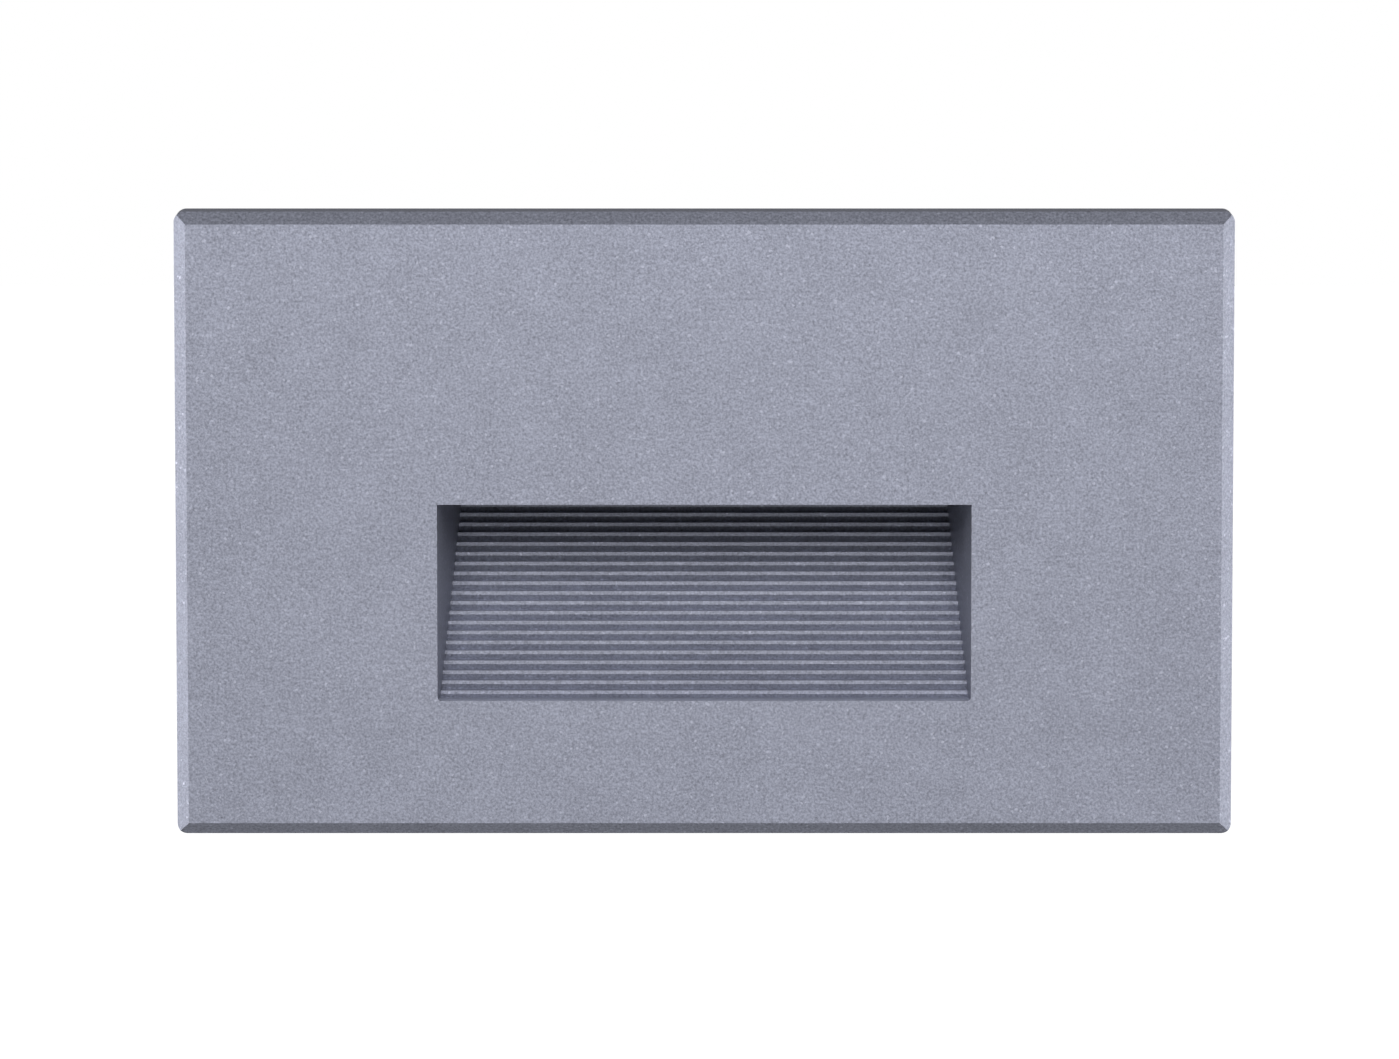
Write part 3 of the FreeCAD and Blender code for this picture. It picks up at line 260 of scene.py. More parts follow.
padFill = dict(siliconeRubber, colour=(0.38, 0.44, 0.52), rough=0.75, speckShare=0.12,
               speckColour=(0.55, 0.60, 0.66), sockets={})
pressedFerrite = dict(blackMoulding, colour=(0.065, 0.066, 0.070), rough=0.48, grainSize=0.00025,
                      speckShare=0.05, speckColour=(0.16, 0.16, 0.17), sockets={"metal": 0.35})
shrunkSleeve = dict(blackMoulding, colour=(0.020, 0.020, 0.024), rough=0.34, grainSize=0.0012,
                    grainDepth=0.00004)
chipEpoxy = dict(blackMoulding, colour=(0.022, 0.022, 0.024), rough=0.58, grainSize=0.00012,
                 grainDepth=0.00001)
dippedResin = {"colour": (0.030, 0.12, 0.42), "rough": 0.24, "grainSize": 0.0016,
               "grainDepth": 0.00009, "cloudSize": 0.003, "cloudShare": 0.35, "fineShare": 0.15,
               "speckShare": 0.01, "speckColour": (0.10, 0.24, 0.55), "sockets": {"coat": 0.4}}
redJacket = {"colour": (0.52, 0.018, 0.014), "rough": 0.36, "grainSize": 0.0004,
             "grainDepth": 0.00001, "cloudSize": 0.003, "cloudShare": 0.25, "fineShare": 0.15,
             "speckShare": 0.01, "speckColour": (0.62, 0.08, 0.06)}
blackJacket = dict(redJacket, colour=(0.016, 0.016, 0.017), speckColour=(0.05, 0.05, 0.05))
polyesterFilm = {"colour": (0.72, 0.66, 0.38), "rough": 0.22, "grainSize": 0.004,
                 "grainDepth": 0.00005, "cloudSize": 0.008, "cloudShare": 0.2, "fineShare": 0.1,
                 "speckShare": 0.004, "speckColour": (0.5, 0.45, 0.25), "sockets": {"clear": 0.35}}

opalLens = {"colour": (0.93, 0.94, 0.95), "rough": 0.42,
            "frostSize": 0.00014, "frostDepth": 0.00003}


def lensFinish(look):
    # satin pane: the frosting is a fine etch, a little uneven over the pane
    finish = Finish("frosted_pane")
    place = finish.place()
    frost = finish.noise(place, look["frostSize"], 3)
    haze = finish.noise(place, 0.006, 2)
    return finish.surface(
        colour=finish.tint(look["colour"], 0.96 + (haze - 0.5) * 0.08 + (frost - 0.5) * 0.08),
        rough=look["rough"] + (haze - 0.5) * 0.2, clear=0.65, ior=1.49,
        normal=finish.bump(frost, look["frostDepth"]))


ledChip = {"pitch": 0.00704, "count": 6, "line": 0.0075, "halfLong": 0.00125, "halfWide": 0.00095,
           "phosphor": (0.90, 0.62, 0.10), "shell": (0.86, 0.86, 0.83)}


def ledFinish(look):
    # a white shell with a well of phosphor in the middle of each package
    finish = Finish("led_package")
    place = finish.place()
    across, back, up = finish.axes(place)
    turnBack = look["pitch"] * (look["count"] / 2 - 0.5) + look["pitch"] * 10.5
    local = finish.node("ShaderNodeMath", {"operation": "FLOORED_MODULO"},
                        {0: across + turnBack, 1: look["pitch"]}) - look["pitch"] / 2
    well = ((abs(local) - look["halfLong"]).ramp(0.00008, -0.00008)
            * (abs(back - look["line"]) - look["halfWide"]).ramp(0.00008, -0.00008))
    grit = finish.noise(place, 0.00012, 2)
    return finish.surface(
        colour=finish.mix(well, finish.tint(look["shell"], 0.95 + (grit - 0.5) * 0.15),
                          finish.tint(look["phosphor"], 0.9 + (grit - 0.5) * 0.5)),
        rough=0.35 - well * 0.12, normal=finish.bump(grit - well * 2, 0.00003))


driverBoardLook = {"mask": (0.018, 0.16, 0.055), "track": (0.035, 0.25, 0.09), "cell": 0.0042,
                   "gap": 0.08, "pad": (0.70, 0.68, 0.62), "padSize": 0.0034}
lampBoardLook = {"mask": (0.80, 0.80, 0.77), "track": (0.72, 0.73, 0.70), "cell": 0.0065,
                 "gap": 0.05, "pad": (0.75, 0.62, 0.38), "padSize": 0.0050}


def boardFinish(name, look):
    # solder mask over copper areas, with tinned pads here and there
    finish = Finish(name)
    place = finish.place()
    squared = finish.node("ShaderNodeTexVoronoi", {"distance": "CHEBYCHEV"},
                          {"Vector": place, "Scale": 1 / look["cell"], "Randomness": 0.75})
    copper = squared.ramp(0.36 + look["gap"], 0.36)
    weave = finish.noise(finish.stretch(place, (0.0005, 0.0005, 0.0005)), 1, 2)
    padDot = finish.node("ShaderNodeTexVoronoi", inputs={
        "Vector": place, "Scale": 1 / look["padSize"], "Randomness": 0.4}).ramp(0.15, 0.12)
    colour = finish.mix(copper, look["mask"], look["track"])
    colour = finish.mix(padDot, finish.tint(colour, 0.9 + (weave - 0.5) * 0.5), look["pad"])
    return finish.surface(
        colour=colour, metal=padDot * 0.9, rough=0.34 + (weave - 0.5) * 0.3 - padDot * 0.05,
        normal=finish.bump(copper + weave * 0.3 + padDot, 0.00004))


canSleeve = {"sleeve": (0.022, 0.030, 0.075), "top": (0.72, 0.72, 0.73),
             "topAt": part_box("bulk_capacitors")[0].y + 0.00012}


def canFinish(look):
    # printed sleeve shrunk over an aluminium can, whose top stays bare
    finish = Finish("capacitor_can")
    place = finish.place()
    across, back, up = finish.axes(place)
    bare = (back - look["topAt"]).ramp(0.00003, -0.00003)
    wrinkle = finish.noise(finish.stretch(place, (0.0009, 0.006, 0.0009)), 1, 2)
    spin = finish.noise(place, 0.0004, 2)
    sleeve = finish.tint(look["sleeve"], 0.85 + (wrinkle - 0.5) * 0.5)
    return finish.surface(
        colour=finish.mix(bare, sleeve, finish.tint(look["top"], 0.9 + (spin - 0.5) * 0.3)),
        metal=bare, rough=0.30 + (spin - 0.5) * 0.2, normal=finish.bump(wrinkle, 0.00006))


fuseTube = {"glaze": (0.80, 0.77, 0.70), "cap": (0.62, 0.60, 0.56),
            "from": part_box("fuse")[0].y + 0.0020, "to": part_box("fuse")[1].y - 0.0020}


def fuseFinish(look):
    # glazed ceramic tube between two pressed caps
    finish = Finish("ceramic_fuse")
    place = finish.place()
    across, back, up = finish.axes(place)
    edge = 0.0001
    cap = 1 - (back - look["from"]).ramp(-edge, edge) * (look["to"] - back).ramp(-edge, edge)
    mottle = finish.noise(place, 0.0007, 3)
    return finish.surface(
        colour=finish.mix(cap, finish.tint(look["glaze"], 0.92 + (mottle - 0.5) * 0.25),
                          finish.tint(look["cap"], 0.9 + (mottle - 0.5) * 0.4)),
        metal=cap, rough=0.26 + (mottle - 0.5) * 0.2, normal=finish.bump(mottle, 0.00002))


# the tape's second colour is painted shade: a darker band at the foot of each turn's edge
coilTape = {"colour": (0.80, 0.60, 0.05), "second": (0.66, 0.46, 0.03), "turn": 0.0024}


def tapeFinish(look):
    # glossy film tape in overlapping turns, with painted shade at the foot of each turn's edge
    finish = Finish("winding_tape")
    place = finish.place()
    across, back, up = finish.axes(place)
    layer = finish.node("ShaderNodeMath", {"operation": "FRACT"}, {0: back / look["turn"]})
    # painted shade: the darker second colour fills a thin band at the foot of each turn's edge,
    # where the turn above would shade it
    clearOfPaintedShade = layer.ramp(0.02, 0.10)
    crease = finish.noise(finish.stretch(place, (0.001, 0.004, 0.001)), 1, 3)
    return finish.surface(
        colour=finish.mix(clearOfPaintedShade, look["second"], finish.tint(look["colour"], 0.85 + crease * 0.3)),
        rough=0.20 + (crease - 0.5) * 0.25, coat=0.3,
        normal=finish.bump(layer + crease * 0.8, 0.00007))


finishes = {
    "grey_powder_coat": powderCoatFinish(powderCoat),
    "foam": mouldedFinish("closed_cell_foam", closedFoam),
    "zinc_steel": metalFinish("rolled_zinc_steel", rolledZinc),
    "green_screw": metalFinish("green_earth_screw", earthGreen),
    "silicone": mouldedFinish("silicone_rubber", siliconeRubber),
    "frosted_lens": lensFinish(opalLens),
    "white_plastic": mouldedFinish("white_moulding", whiteMoulding),
    "lamp": ledFinish(ledChip),
    "white_board": boardFinish("lamp_board", lampBoardLook),
    "thermal_pad": mouldedFinish("filled_thermal_pad", padFill),
    "bare_aluminium": metalFinish("drawn_aluminium", spreaderBar),
    "screw_steel": metalFinish("zinc_plated_screw", screwZinc),
    "black_plastic": mouldedFinish("black_moulding", blackMoulding),
    "insulation": mouldedFinish("insulating_film", polyesterFilm),
    "rubber": mouldedFinish("black_rubber", blackRubber),
    "green_board": boardFinish("driver_board", driverBoardLook),
    "ferrite": mouldedFinish("pressed_ferrite", pressedFerrite),
    "tape": tapeFinish(coilTape),
    "capacitor_sleeve": canFinish(canSleeve),
    "film_box": mouldedFinish("film_capacitor_box", yellowBox),
    "varistor_blue": mouldedFinish("dipped_resin", dippedResin),
    "fuse_ceramic": fuseFinish(fuseTube),
    "heat_shrink": mouldedFinish("shrunk_sleeve", shrunkSleeve),
    "chip_black": mouldedFinish("chip_epoxy", chipEpoxy),
    "terminal_green": mouldedFinish("green_moulding", greenMoulding),
    "red_wire": mouldedFinish("red_wire_jacket", redJacket),
    "black_wire": mouldedFinish("black_wire_jacket", blackJacket),
    "spring_steel": metalFinish("spring_strip", springStrip),
}
slotOf = {part["node"]: part["material_slot"] for part in frame["record"]["subparts"]}
for name, node in nodes.items():
    node.data.materials.clear()
    node.data.materials.append(finishes[slotOf[name]])
print("finishes made:", len(finishes))


def pickOnly(thing):
    bpy.ops.object.select_all(action="DESELECT")
    thing.select_set(True)
    bpy.context.view_layer.objects.active = thing


easing = {"merge": 1e-6, "flatAngle": 0.4, "smoothAngle": 32}


def solidsOf(nodeName):
    # the lowest and highest corner of each separate solid of a node
    pickOnly(nodes[nodeName])
    bpy.ops.object.duplicate()
    del bpy.context.object["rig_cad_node"]
    bpy.ops.object.mode_set(mode="EDIT")
    bpy.ops.mesh.select_all(action="SELECT")
    bpy.ops.mesh.remove_doubles(threshold=easing["merge"])
    bpy.ops.mesh.separate(type="LOOSE")
    bpy.ops.object.mode_set(mode="OBJECT")
    corners = []
    for part in bpy.context.selected_objects:
        spots = [vertex.co for vertex in part.data.vertices]
        corners.append([Vector([pick(spot[axis] for spot in spots) for axis in range(3)])
                        for pick in (min, max)])
    bpy.ops.object.delete()
    return sorted(corners, key=lambda pair: tuple(round(value, 5) for value in pair[0]))


def modify(piece, kind, **settings):
    pickOnly(piece)
    bpy.ops.object.modifier_add(type=kind)
    modifier = piece.modifiers[-1]
    for key, value in settings.items():
        setattr(modifier, key, value)
    bpy.ops.object.modifier_apply(modifier=modifier.name)


def settle(piece, body, slot, *replaced):
    # hands a finished piece to its body, with its finish and the nodes that it stands for
    piece.data.materials.clear()
    piece.data.materials.append(finishes[slot])
    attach(piece, body)
    if replaced:
        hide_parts(*replaced)


def mergedCopy(nodeName, pieceName):
    # a copy of a node with its triangles merged into whole faces
    pickOnly(nodes[nodeName])
    bpy.ops.object.duplicate()
    piece = bpy.context.object
    piece.name = piece.data.name = pieceName
    del piece["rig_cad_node"]
    bpy.ops.object.mode_set(mode="EDIT")
    bpy.ops.mesh.select_all(action="SELECT")
    bpy.ops.mesh.remove_doubles(threshold=easing["merge"])
    bpy.ops.mesh.dissolve_limited(angle_limit=math.radians(easing["flatAngle"]))
    bpy.ops.object.mode_set(mode="OBJECT")
    bpy.ops.mesh.customdata_custom_splitnormals_clear()
    return piece


def softCopy(nodeName, pieceName, edge, sides=2, angle=28, spared=None):
    # a merged copy with its hard edges eased, apart from the edges in the spared places
    piece = mergedCopy(nodeName, pieceName)
    bpy.ops.object.mode_set(mode="EDIT")
    bpy.ops.mesh.select_mode(type="EDGE")
    bpy.ops.mesh.select_all(action="DESELECT")
    bpy.ops.mesh.edges_select_sharp(sharpness=math.radians(angle))
    bpy.ops.object.mode_set(mode="OBJECT")
    spots = piece.data.vertices
    hard = piece.data.attributes.new("bevel_weight_edge", "FLOAT", "EDGE")
    for line, weight in zip(piece.data.edges, hard.data):
        middle = (spots[line.vertices[0]].co + spots[line.vertices[1]].co) / 2
        weight.value = float(line.select and not (spared and spared(middle)))
    modify(piece, "BEVEL", width=edge, segments=sides, limit_method="WEIGHT")
    bpy.ops.object.shade_smooth_by_angle(angle=math.radians(easing["smoothAngle"]))
    modify(piece, "WEIGHTED_NORMAL", mode="FACE_AREA", weight=100, keep_sharp=True)
    return piece


def turned(name, rings, sides=40):
    # a round piece drawn up along +Z through its rings of radius and height
    bpy.ops.object.select_all(action="DESELECT")
    bpy.ops.mesh.primitive_circle_add(vertices=sides, radius=rings[0][0], fill_type="NGON",
                                      location=(0, 0, rings[0][1]))
    piece = bpy.context.object
    piece.name = piece.data.name = name
    bpy.ops.object.transform_apply()
    bpy.ops.object.mode_set(mode="EDIT")
    bpy.ops.mesh.select_all(action="SELECT")
    for (lastRadius, lastHeight), (radius, height) in zip(rings, rings[1:]):
        bpy.ops.mesh.extrude_region_move(
            TRANSFORM_OT_translate={"value": (0, 0, height - lastHeight)})
        grow = radius / lastRadius
        bpy.ops.transform.resize(value=(grow, grow, 1), center_override=(0, 0, height))
    bpy.ops.mesh.select_all(action="SELECT")
    bpy.ops.mesh.normals_make_consistent(inside=False)
    bpy.ops.object.mode_set(mode="OBJECT")
    return piece


def bar(name, middle, size, taper=1.0):
    # a block whose lower face is drawn in by the taper
    bpy.ops.object.select_all(action="DESELECT")
    bpy.ops.mesh.primitive_cube_add(size=1, location=middle, scale=size)
    piece = bpy.context.object
    piece.name = piece.data.name = name
    bpy.ops.object.transform_apply()
    pickFaces(piece, lambda face: face.normal.z < -0.9)
    bpy.ops.transform.resize(value=(taper, taper, 1), center_override=middle)
    bpy.ops.object.mode_set(mode="OBJECT")
    return piece


def pickFaces(piece, test):
    # leaves the piece in edit mode with only the faces that pass the test selected
    pickOnly(piece)
    bpy.ops.object.mode_set(mode="EDIT")
    bpy.ops.mesh.select_mode(type="FACE")
    bpy.ops.mesh.select_all(action="DESELECT")
    bpy.ops.object.mode_set(mode="OBJECT")
    for face in piece.data.polygons:
        face.select = test(face)
    bpy.ops.object.mode_set(mode="EDIT")


def pickLines(piece, *middles):
    # leaves the piece in edit mode with the edges selected that have these middles
    pickOnly(piece)
    bpy.ops.object.mode_set(mode="EDIT")
    bpy.ops.mesh.select_mode(type="EDGE")
    bpy.ops.mesh.select_all(action="DESELECT")
    bpy.ops.object.mode_set(mode="OBJECT")
    spots = piece.data.vertices
    for line in piece.data.edges:
        middle = (spots[line.vertices[0]].co + spots[line.vertices[1]].co) / 2
        line.select = any((middle - spot).length < 1e-5 for spot in middles)
    bpy.ops.object.mode_set(mode="EDIT")


def joined(name, *parts):
    bpy.ops.object.select_all(action="DESELECT")
    for part in parts:
        part.select_set(True)
    bpy.context.view_layer.objects.active = parts[0]
    if len(parts) > 1:
        bpy.ops.object.join()
    parts[0].name = parts[0].data.name = name
    return parts[0]


def carve(piece, *cutters):
    cutter = joined("cutter", *cutters)
    modify(piece, "BOOLEAN", object=cutter, operation="DIFFERENCE", solver="EXACT", use_self=True)
    pickOnly(cutter)
    bpy.ops.object.delete()


def ease(piece, edge, sides=2, angle=30, smooth=35):
    modify(piece, "BEVEL", width=edge, segments=sides, limit_method="ANGLE",
           angle_limit=math.radians(angle))
    bpy.ops.object.shade_smooth_by_angle(angle=math.radians(smooth))


def copies(model, name, places):
    # one copy of the model for each place, a turn and a shift, joined into one piece
    made = []
    for turn, shift in places:
        pickOnly(model)
        bpy.ops.object.duplicate()
        copy = bpy.context.object
        copy.rotation_euler = turn
        copy.location = shift
        bpy.ops.object.transform_apply()
        made.append(copy)
    pickOnly(model)
    bpy.ops.object.delete()
    return joined(name, *made)


def standing(pair, turn):
    # the shift that sets a piece, drawn up along +Z and then turned, between a solid's corners
    up = Euler(turn).to_matrix() @ Vector((0, 0, 1))
    low, high = pair
    return (low + high) / 2 - up * abs((high - low).dot(up)) / 2


# turns that point a piece drawn up along +Z to one side of the light
quarter = math.pi / 2
toTop, toBottom = (0, 0, 0), (math.pi, 0, 0)
toBack, toFront = (-quarter, 0, 0), (quarter, 0, 0)
toRight, toLeft = (0, quarter, 0), (0, -quarter, 0)

casting = {"edge": 0.00013}
plate = softCopy("faceplate", "faceplate_casting", casting["edge"], 3)
settle(plate, "light", "grey_powder_coat", "faceplate")
print("faceplate:", len(plate.data.polygons), "faces")

softParts = {
    "driver_housing": ("housing_moulding", "light", 0.00030),
    "rear_cover": ("cover_moulding", "light", 0.00022),
    "cable_grommet": ("grommet_moulding", "light", 0.00018),
    "wall_gasket": ("wall_gasket_foam", "light", 0.00018),
    "lens": ("lens_pane", "light", 0.00020),
    "mounting_bracket": ("bracket_stamping", "wall_bracket", 0.00015),
    "heat_spreader": ("spreader_extrusion", "light", 0.00014),
    "reflector_frame": ("reflector_moulding", "light", 0.00012),
    "terminal_block": ("terminal_moulding", "light", 0.00012),
    "output_connector": ("output_socket", "light", 0.00008),
    "led_connector": ("lamp_socket", "light", 0.00008),
    "film_capacitor": ("film_capacitor_case", "light", 0.00022),
    "transformer_bobbin": ("bobbin_moulding", "light", 0.00012),
    "transformer_core": ("ferrite_core_pair", "light", 0.00018),
    "controller_chip": ("controller_package", "light", 0.00008),
    "bridge_rectifier": ("rectifier_package", "light", 0.00012),
}
sparedSpots = {"driver_housing": lambda spot: abs(spot.z) < 0.0016}   # the rivet holes
for nodeName, (pieceName, body, edge) in softParts.items():
    piece = softCopy(nodeName, pieceName, edge, spared=sparedSpots.get(nodeName))
    settle(piece, body, slotOf[nodeName], nodeName)
print("softened parts:", len(softParts))


screwSets = {
    "housing_screws": {"piece": "housing_screw_set", "body": "light", "turn": toBack,
                       "shank": 0.0015, "head": 0.0020, "pitch": 0.0009, "cross": 0.0011},
    "ground_screw": {"piece": "earth_screw", "body": "wall_bracket", "turn": toFront,
                     "shank": 0.0020, "head": 0.0020, "pitch": 0.0008, "cross": 0.0010},
    "spreader_screws": {"piece": "spreader_screw_pair", "body": "light", "turn": toTop,
                        "shank": 0.0012, "head": 0.0013, "pitch": 0.0006, "cross": 0.0007},
    "led_board_screws": {"piece": "lamp_board_screw_pair", "body": "light", "turn": toBottom,
                         "shank": 0.0012, "head": 0.0013, "pitch": 0.0006, "cross": 0.0007},
    "driver_board_screws": {"piece": "driver_board_screw_set", "body": "light", "turn": toFront,
                            "shank": 0.0012, "head": 0.0013, "pitch": 0.0006, "cross": 0.0007},
}
# shares of the root's, head's and pitch's sizes, and the eased edge in metres
screwShape = {"depth": 0.3, "tip": 0.55, "crest": (0.40, 0.52), "groove": 0.92,
              "rim": 0.40, "domeAngles": (18, 36, 54, 70), "slotLong": 1.30, "slotWide": 0.30,
              "slotTaper": 0.62, "edge": 0.00004}
for nodeName, look in screwSets.items():
    solids = solidsOf(nodeName)
    up = Euler(look["turn"]).to_matrix() @ Vector((0, 0, 1))
    size = solids[0][1] - solids[0][0]
    tall = abs(size.dot(up))
    wide = size.x / 2
    shank, pitch = look["shank"], look["pitch"]
    root, seat = shank - screwShape["depth"] * pitch, tall - look["head"]
    rings = [(screwShape["tip"] * root, 0), (0.9 * root, 0.35 * shank)]
    height = 0.4 * shank
    while height + 1.6 * pitch < seat:
        rings += [(root, height)]
        rings += [(shank, height + share * pitch) for share in screwShape["crest"]]
        rings += [(root, height + screwShape["groove"] * pitch)]
        height += pitch
    rim = screwShape["rim"]
    rings += [(root, seat), (0.97 * wide, seat), (wide, seat + 0.06 * look["head"]),
              (wide, seat + rim * look["head"])]
    rings += [(wide * math.cos(math.radians(angle)) ** 0.8,
               seat + look["head"] * (rim + (1 - rim) * math.sin(math.radians(angle))))
              for angle in screwShape["domeAngles"]] + [(wide * 0.12, tall)]
    screw = turned("screw_model", rings, 36)
    slotLong, slotWide = wide * screwShape["slotLong"], wide * screwShape["slotWide"]
    slotDeep = look["cross"] + 0.0004
    slots = [bar("slot", (0, 0, tall - look["cross"] * 0.5 + 0.0002), spread,
                 screwShape["slotTaper"])
             for spread in ((slotLong, slotWide, slotDeep), (slotWide, slotLong, slotDeep))]
    carve(screw, *slots)
    ease(screw, screwShape["edge"], sides=1, angle=45, smooth=40)
    piece = copies(screw, look["piece"], [(look["turn"], standing(pair, look["turn"]))
                                         for pair in solids])
    settle(piece, look["body"], slotOf[nodeName], nodeName)
print("screw sets:", len(screwSets))

rivetLook = {"shank": 0.0010, "head": 0.0007, "edge": 0.00003}
solids = solidsOf("spring_rivets")
tall = solids[0][1].x - solids[0][0].x
wide = (solids[0][1].z - solids[0][0].z) / 2
head = rivetLook["head"]
rivet = turned("rivet_model", [
    (0.55 * wide, 0), (0.80 * wide, 0.15 * head), (wide, head), (rivetLook["shank"], head),
    (rivetLook["shank"], tall - head), (0.96 * wide, tall - head), (wide, tall - 0.88 * head),
    (0.93 * wide, tall - 0.58 * head), (0.76 * wide, tall - 0.27 * head),
    (0.50 * wide, tall - 0.07 * head), (0.18 * wide, tall)], 32)
ease(rivet, rivetLook["edge"], sides=1, angle=50, smooth=40)
rivets = copies(rivet, "rivet_set", [
    (side, standing(pair, side))
    for pair in solids for side in [toRight if pair[0].x > 0 else toLeft]])
settle(rivets, "light", slotOf["spring_rivets"], "spring_rivets")

bladeLook = {"thick": 0.0005, "foot": 0.012, "crestAt": 0.0130, "tipLift": 0.0003,
             "bend": 0.0015, "edge": 0.00007, "holes": (0.003, 0.00864), "hole": 0.00105}
for side, sign in (("right", 1), ("left", -1)):
    # the strip is drawn out along its bends, rounded there, thickened and punched
    nodeName = side + "_spring"
    low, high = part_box(nodeName)
    thick, foot = bladeLook["thick"], bladeLook["foot"]
    inner = min(abs(low.x), abs(high.x)) + thick / 2
    crest = max(abs(low.x), abs(high.x)) - thick / 2
    bpy.ops.object.select_all(action="DESELECT")
    bpy.ops.mesh.primitive_plane_add(size=1, location=(sign * inner, high.y - foot / 2, 0),
                                     rotation=(0, sign * quarter, 0))
    blade = bpy.context.object
    blade.name = blade.data.name = side + "_blade"
    blade.scale = (high.z - low.z, foot, 1)
    bpy.ops.object.transform_apply()
    bends = []
    here = Vector((sign * inner, high.y - foot, 0))
    for across, back in ((crest, bladeLook["crestAt"]), (inner + bladeLook["tipLift"], low.y)):
        pickLines(blade, here)
        there = Vector((sign * across, back, 0))
        bpy.ops.mesh.extrude_region_move(TRANSFORM_OT_translate={"value": there - here})
        bpy.ops.object.mode_set(mode="OBJECT")
        bends.append(here)
        here = there
    pickLines(blade, *bends)
    bpy.ops.mesh.bevel(offset=bladeLook["bend"], segments=6, affect="EDGES")
    bpy.ops.mesh.select_all(action="SELECT")
    bpy.ops.mesh.normals_make_consistent(inside=False)
    bpy.ops.object.mode_set(mode="OBJECT")
    modify(blade, "SOLIDIFY", thickness=thick, offset=0)
    punches = []
    for down in bladeLook["holes"]:
        bpy.ops.object.select_all(action="DESELECT")
        bpy.ops.mesh.primitive_cylinder_add(
            vertices=32, radius=bladeLook["hole"], depth=thick * 4,
            location=(sign * inner, high.y - down, 0), rotation=(0, quarter, 0))
        bpy.ops.object.transform_apply()
        punches.append(bpy.context.object)
    carve(blade, *punches)
    ease(blade, bladeLook["edge"], angle=40, smooth=25)
    settle(blade, "light", slotOf[nodeName], nodeName)
print("springs and rivets made")

well = {"wide": 0.70, "deep": 0.55, "draw": (0.86, 0.82, 1), "bead": 0.12, "swell": 0.16,
        "edge": 0.00006}
solids = solidsOf("led_packages")
size = solids[0][1] - solids[0][0]
package = bar("package_model", (0, 0, size.z / 2), size)
pickFaces(package, lambda face: face.normal.z < -0.9)
bpy.ops.mesh.inset(thickness=size.y * (1 - well["wide"]) / 2, depth=0)
bpy.ops.mesh.extrude_region_move(
    TRANSFORM_OT_translate={"value": (0, 0, size.z * well["deep"])})
bpy.ops.transform.resize(value=well["draw"], center_override=(0, 0, 0))
bpy.ops.mesh.inset(thickness=size.y * well["bead"], depth=0)
bpy.ops.transform.translate(value=(0, 0, -size.z * well["swell"]))   # the phosphor's bead
bpy.ops.object.mode_set(mode="OBJECT")
ease(package, well["edge"], angle=25)
packages = copies(package, "lamp_package_row", [
    (toTop, Vector(((low.x + high.x) / 2, (low.y + high.y) / 2, low.z))) for low, high in solids])
settle(packages, "light", slotOf["led_packages"], "led_packages")

canLook = {"groove": 0.0004, "ventDeep": 0.00012, "ventWide": 0.00030, "edge": 0.00003}
for nodeName, pieceName in (("bulk_capacitors", "mains_can_pair"),
                            ("output_capacitor", "output_can")):
    solids = solidsOf(nodeName)
    tall, wide = solids[0][1].y - solids[0][0].y, (solids[0][1].x - solids[0][0].x) / 2
    notch = canLook["groove"]
    can = turned("can_model", [
        (wide * 0.80, 0), (wide - 0.4 * notch, 0), (wide, 0.5 * notch), (wide, 2.6 * notch),
        (wide - 0.5 * notch, 3.1 * notch), (wide - notch, 4.0 * notch),
        (wide - 0.5 * notch, 4.9 * notch), (wide, 5.4 * notch), (wide, tall - 1.4 * notch),
        (wide - 0.25 * notch, tall - 0.8 * notch), (wide - 0.8 * notch, tall - 0.45 * notch),
        (wide - 1.6 * notch, tall - 0.40 * notch), (wide - 1.7 * notch, tall - 0.05 * notch),
        (wide - 2.0 * notch, tall)], 48)
    vents = [bar("vent", (0, 0, tall), spread) for spread in (
        (wide * 1.1, canLook["ventWide"], canLook["ventDeep"] * 2),
        (canLook["ventWide"], wide * 1.1, canLook["ventDeep"] * 2))]
    carve(can, *vents)
    ease(can, canLook["edge"], sides=1, angle=50)
    piece = copies(can, pieceName, [(toFront, standing(pair, toFront)) for pair in solids])
    settle(piece, "light", slotOf[nodeName], nodeName)
print("lamp packages and cans made")


view = {"away": 1.0, "above": 6.5, "aimFront": -0.007, "pixels": 8823.0,
        "frame": (1399, 1059), "aimAt": (704.24, 525.0), "sensor": 36.0, "clipEnd": 50}
tilt = math.radians(view["above"])
bpy.ops.object.camera_add(
    location=(0, view["aimFront"] - view["away"] * math.cos(tilt), view["away"] * math.sin(tilt)),
    rotation=(quarter - tilt, 0, 0))
camera = bpy.context.object
camera.name = "photo_camera"
camera.data.sensor_width = view["sensor"]
camera.data.lens = view["sensor"] * view["pixels"] / view["frame"][0]
camera.data.shift_x = (view["frame"][0] / 2 - view["aimAt"][0]) / view["frame"][0]
camera.data.shift_y = (view["aimAt"][1] - view["frame"][1] / 2) / view["frame"][0]
camera.data.clip_end = view["clipEnd"]
bpy.context.scene.camera = camera

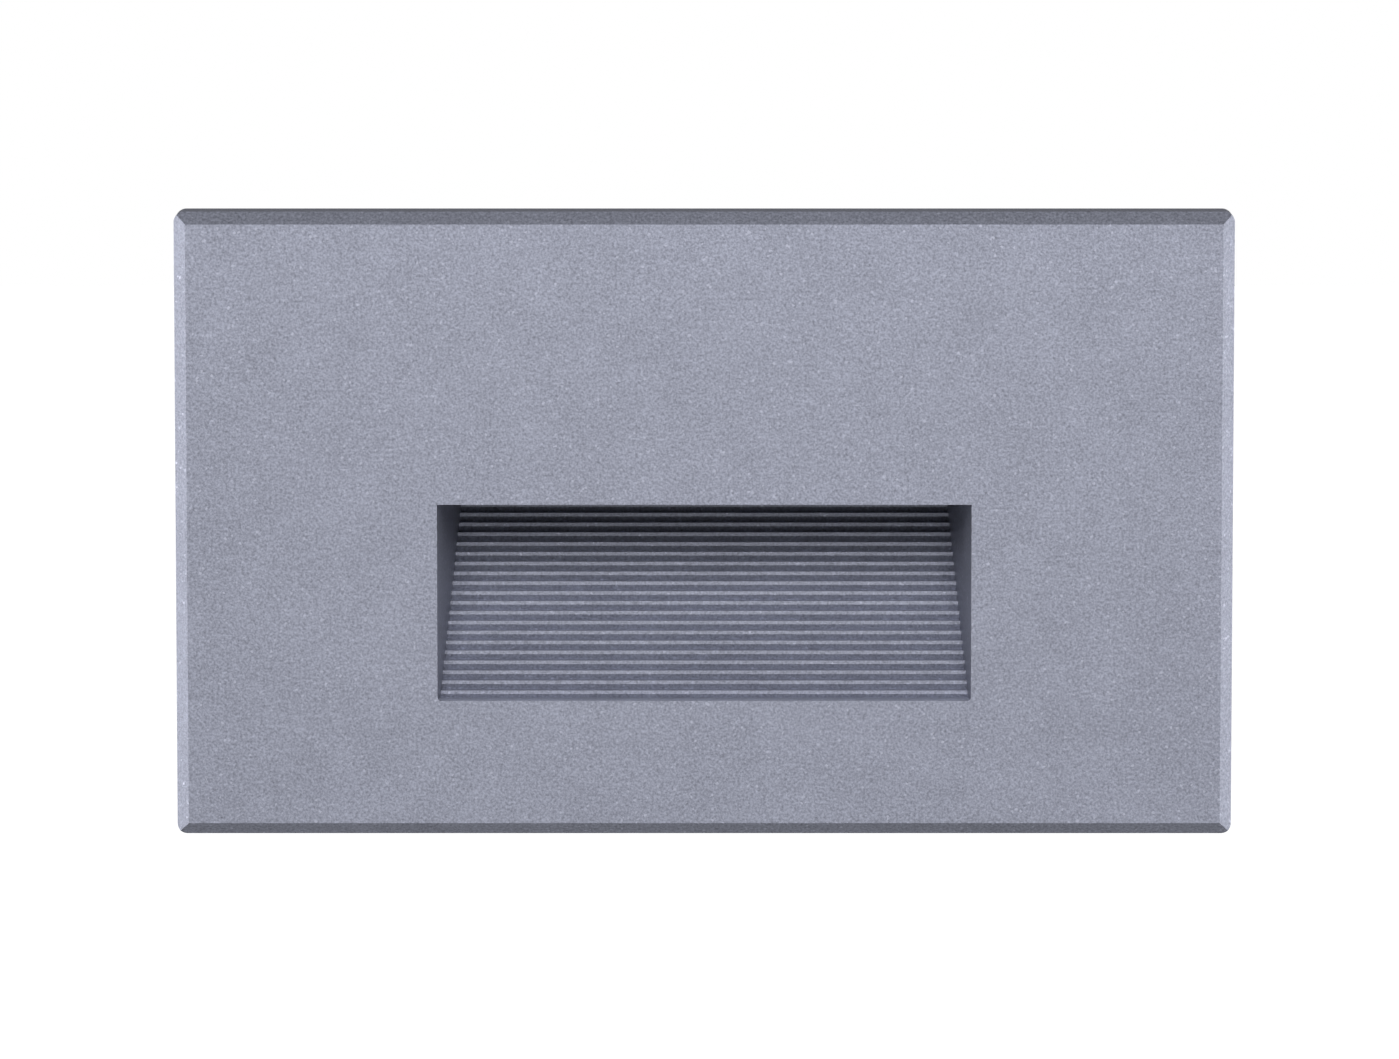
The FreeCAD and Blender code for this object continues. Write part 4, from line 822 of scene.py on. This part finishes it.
studio = {"floorLevel": -0.32, "floorSize": 8.0, "floorGrey": 0.44, "paperGrey": 0.8,
          "ambient": 0.24, "darkAbove": 0.85}
lamps = {
    "left_box": {"at": (-0.95, 0.00, 0.00), "size": (0.30, 0.80), "watts": 3.5},
    "right_box": {"at": (0.95, 0.00, 0.00), "size": (0.30, 0.80), "watts": 3.1},
    "front_fill": {"at": (-0.02, -1.40, 0.77), "size": (1.00, 0.78), "watts": 23.2},
    "low_fill": {"at": (0.10, -1.60, -0.16), "size": (0.70, 0.24), "watts": 0.8},
    "back_fill": {"at": (0.95, 0.95, 0.10), "size": (0.50, 0.50), "watts": 5.0},
}
for name, lamp in lamps.items():
    away = Vector(lamp["at"])
    bpy.ops.object.light_add(type="AREA", location=away,
                             rotation=away.to_track_quat("Z", "Y").to_euler())
    light = bpy.context.object
    light.name = name
    light.data.shape = "RECTANGLE"
    light.data.size, light.data.size_y = lamp["size"]
    light.data.energy = lamp["watts"]
    light.visible_camera = False

bpy.ops.mesh.primitive_plane_add(size=studio["floorSize"], location=(0, 0, studio["floorLevel"]))
floor = bpy.context.object
floor.name = "studio_floor"
floorLook = Finish("pale_floor")
rays = floorLook.node("ShaderNodeLightPath")
paper = floorLook.node("ShaderNodeBsdfDiffuse",
                       inputs={"Color": (studio["paperGrey"],) * 3 + (1,)})
dull = floorLook.node("ShaderNodeBsdfDiffuse",
                      inputs={"Color": (studio["floorGrey"],) * 3 + (1,)})
glow = floorLook.node("ShaderNodeEmission", inputs={"Color": (1, 1, 1, 1), "Strength": 1.0})
seen = floorLook.node("ShaderNodeAddShader", inputs={0: paper, 1: glow})
both = floorLook.node("ShaderNodeMixShader", inputs={0: rays, 1: dull, 2: seen})
floorLook.node("ShaderNodeOutputMaterial", inputs={"Surface": both})
floor.data.materials.append(floorLook.material)

world = bpy.data.worlds.new("studio_world")
bpy.context.scene.world = world
sky = Finish(world)
rays = sky.node("ShaderNodeLightPath")
across, back, up = sky.axes(sky.node("ShaderNodeTexCoord", output="Generated"))
# metal and glass show the white only low behind the object, so its top side stays dark
behind = back.ramp(-0.1, 0.5) * up.ramp(0.08, -0.06)
white = rays + (rays.part("Is Glossy Ray") + rays.part("Is Transmission Ray")) * behind
dim = studio["ambient"] * (1 - up.ramp(0.05, 0.65) * studio["darkAbove"])   # dark overhead
level = white * (1 - dim) + dim
sky.node("ShaderNodeOutputWorld", inputs={"Surface": sky.node(
    "ShaderNodeBackground", inputs={"Color": (1, 1, 1, 1), "Strength": level})})
bpy.context.scene.view_settings.view_transform = "Standard"
print("studio ready")
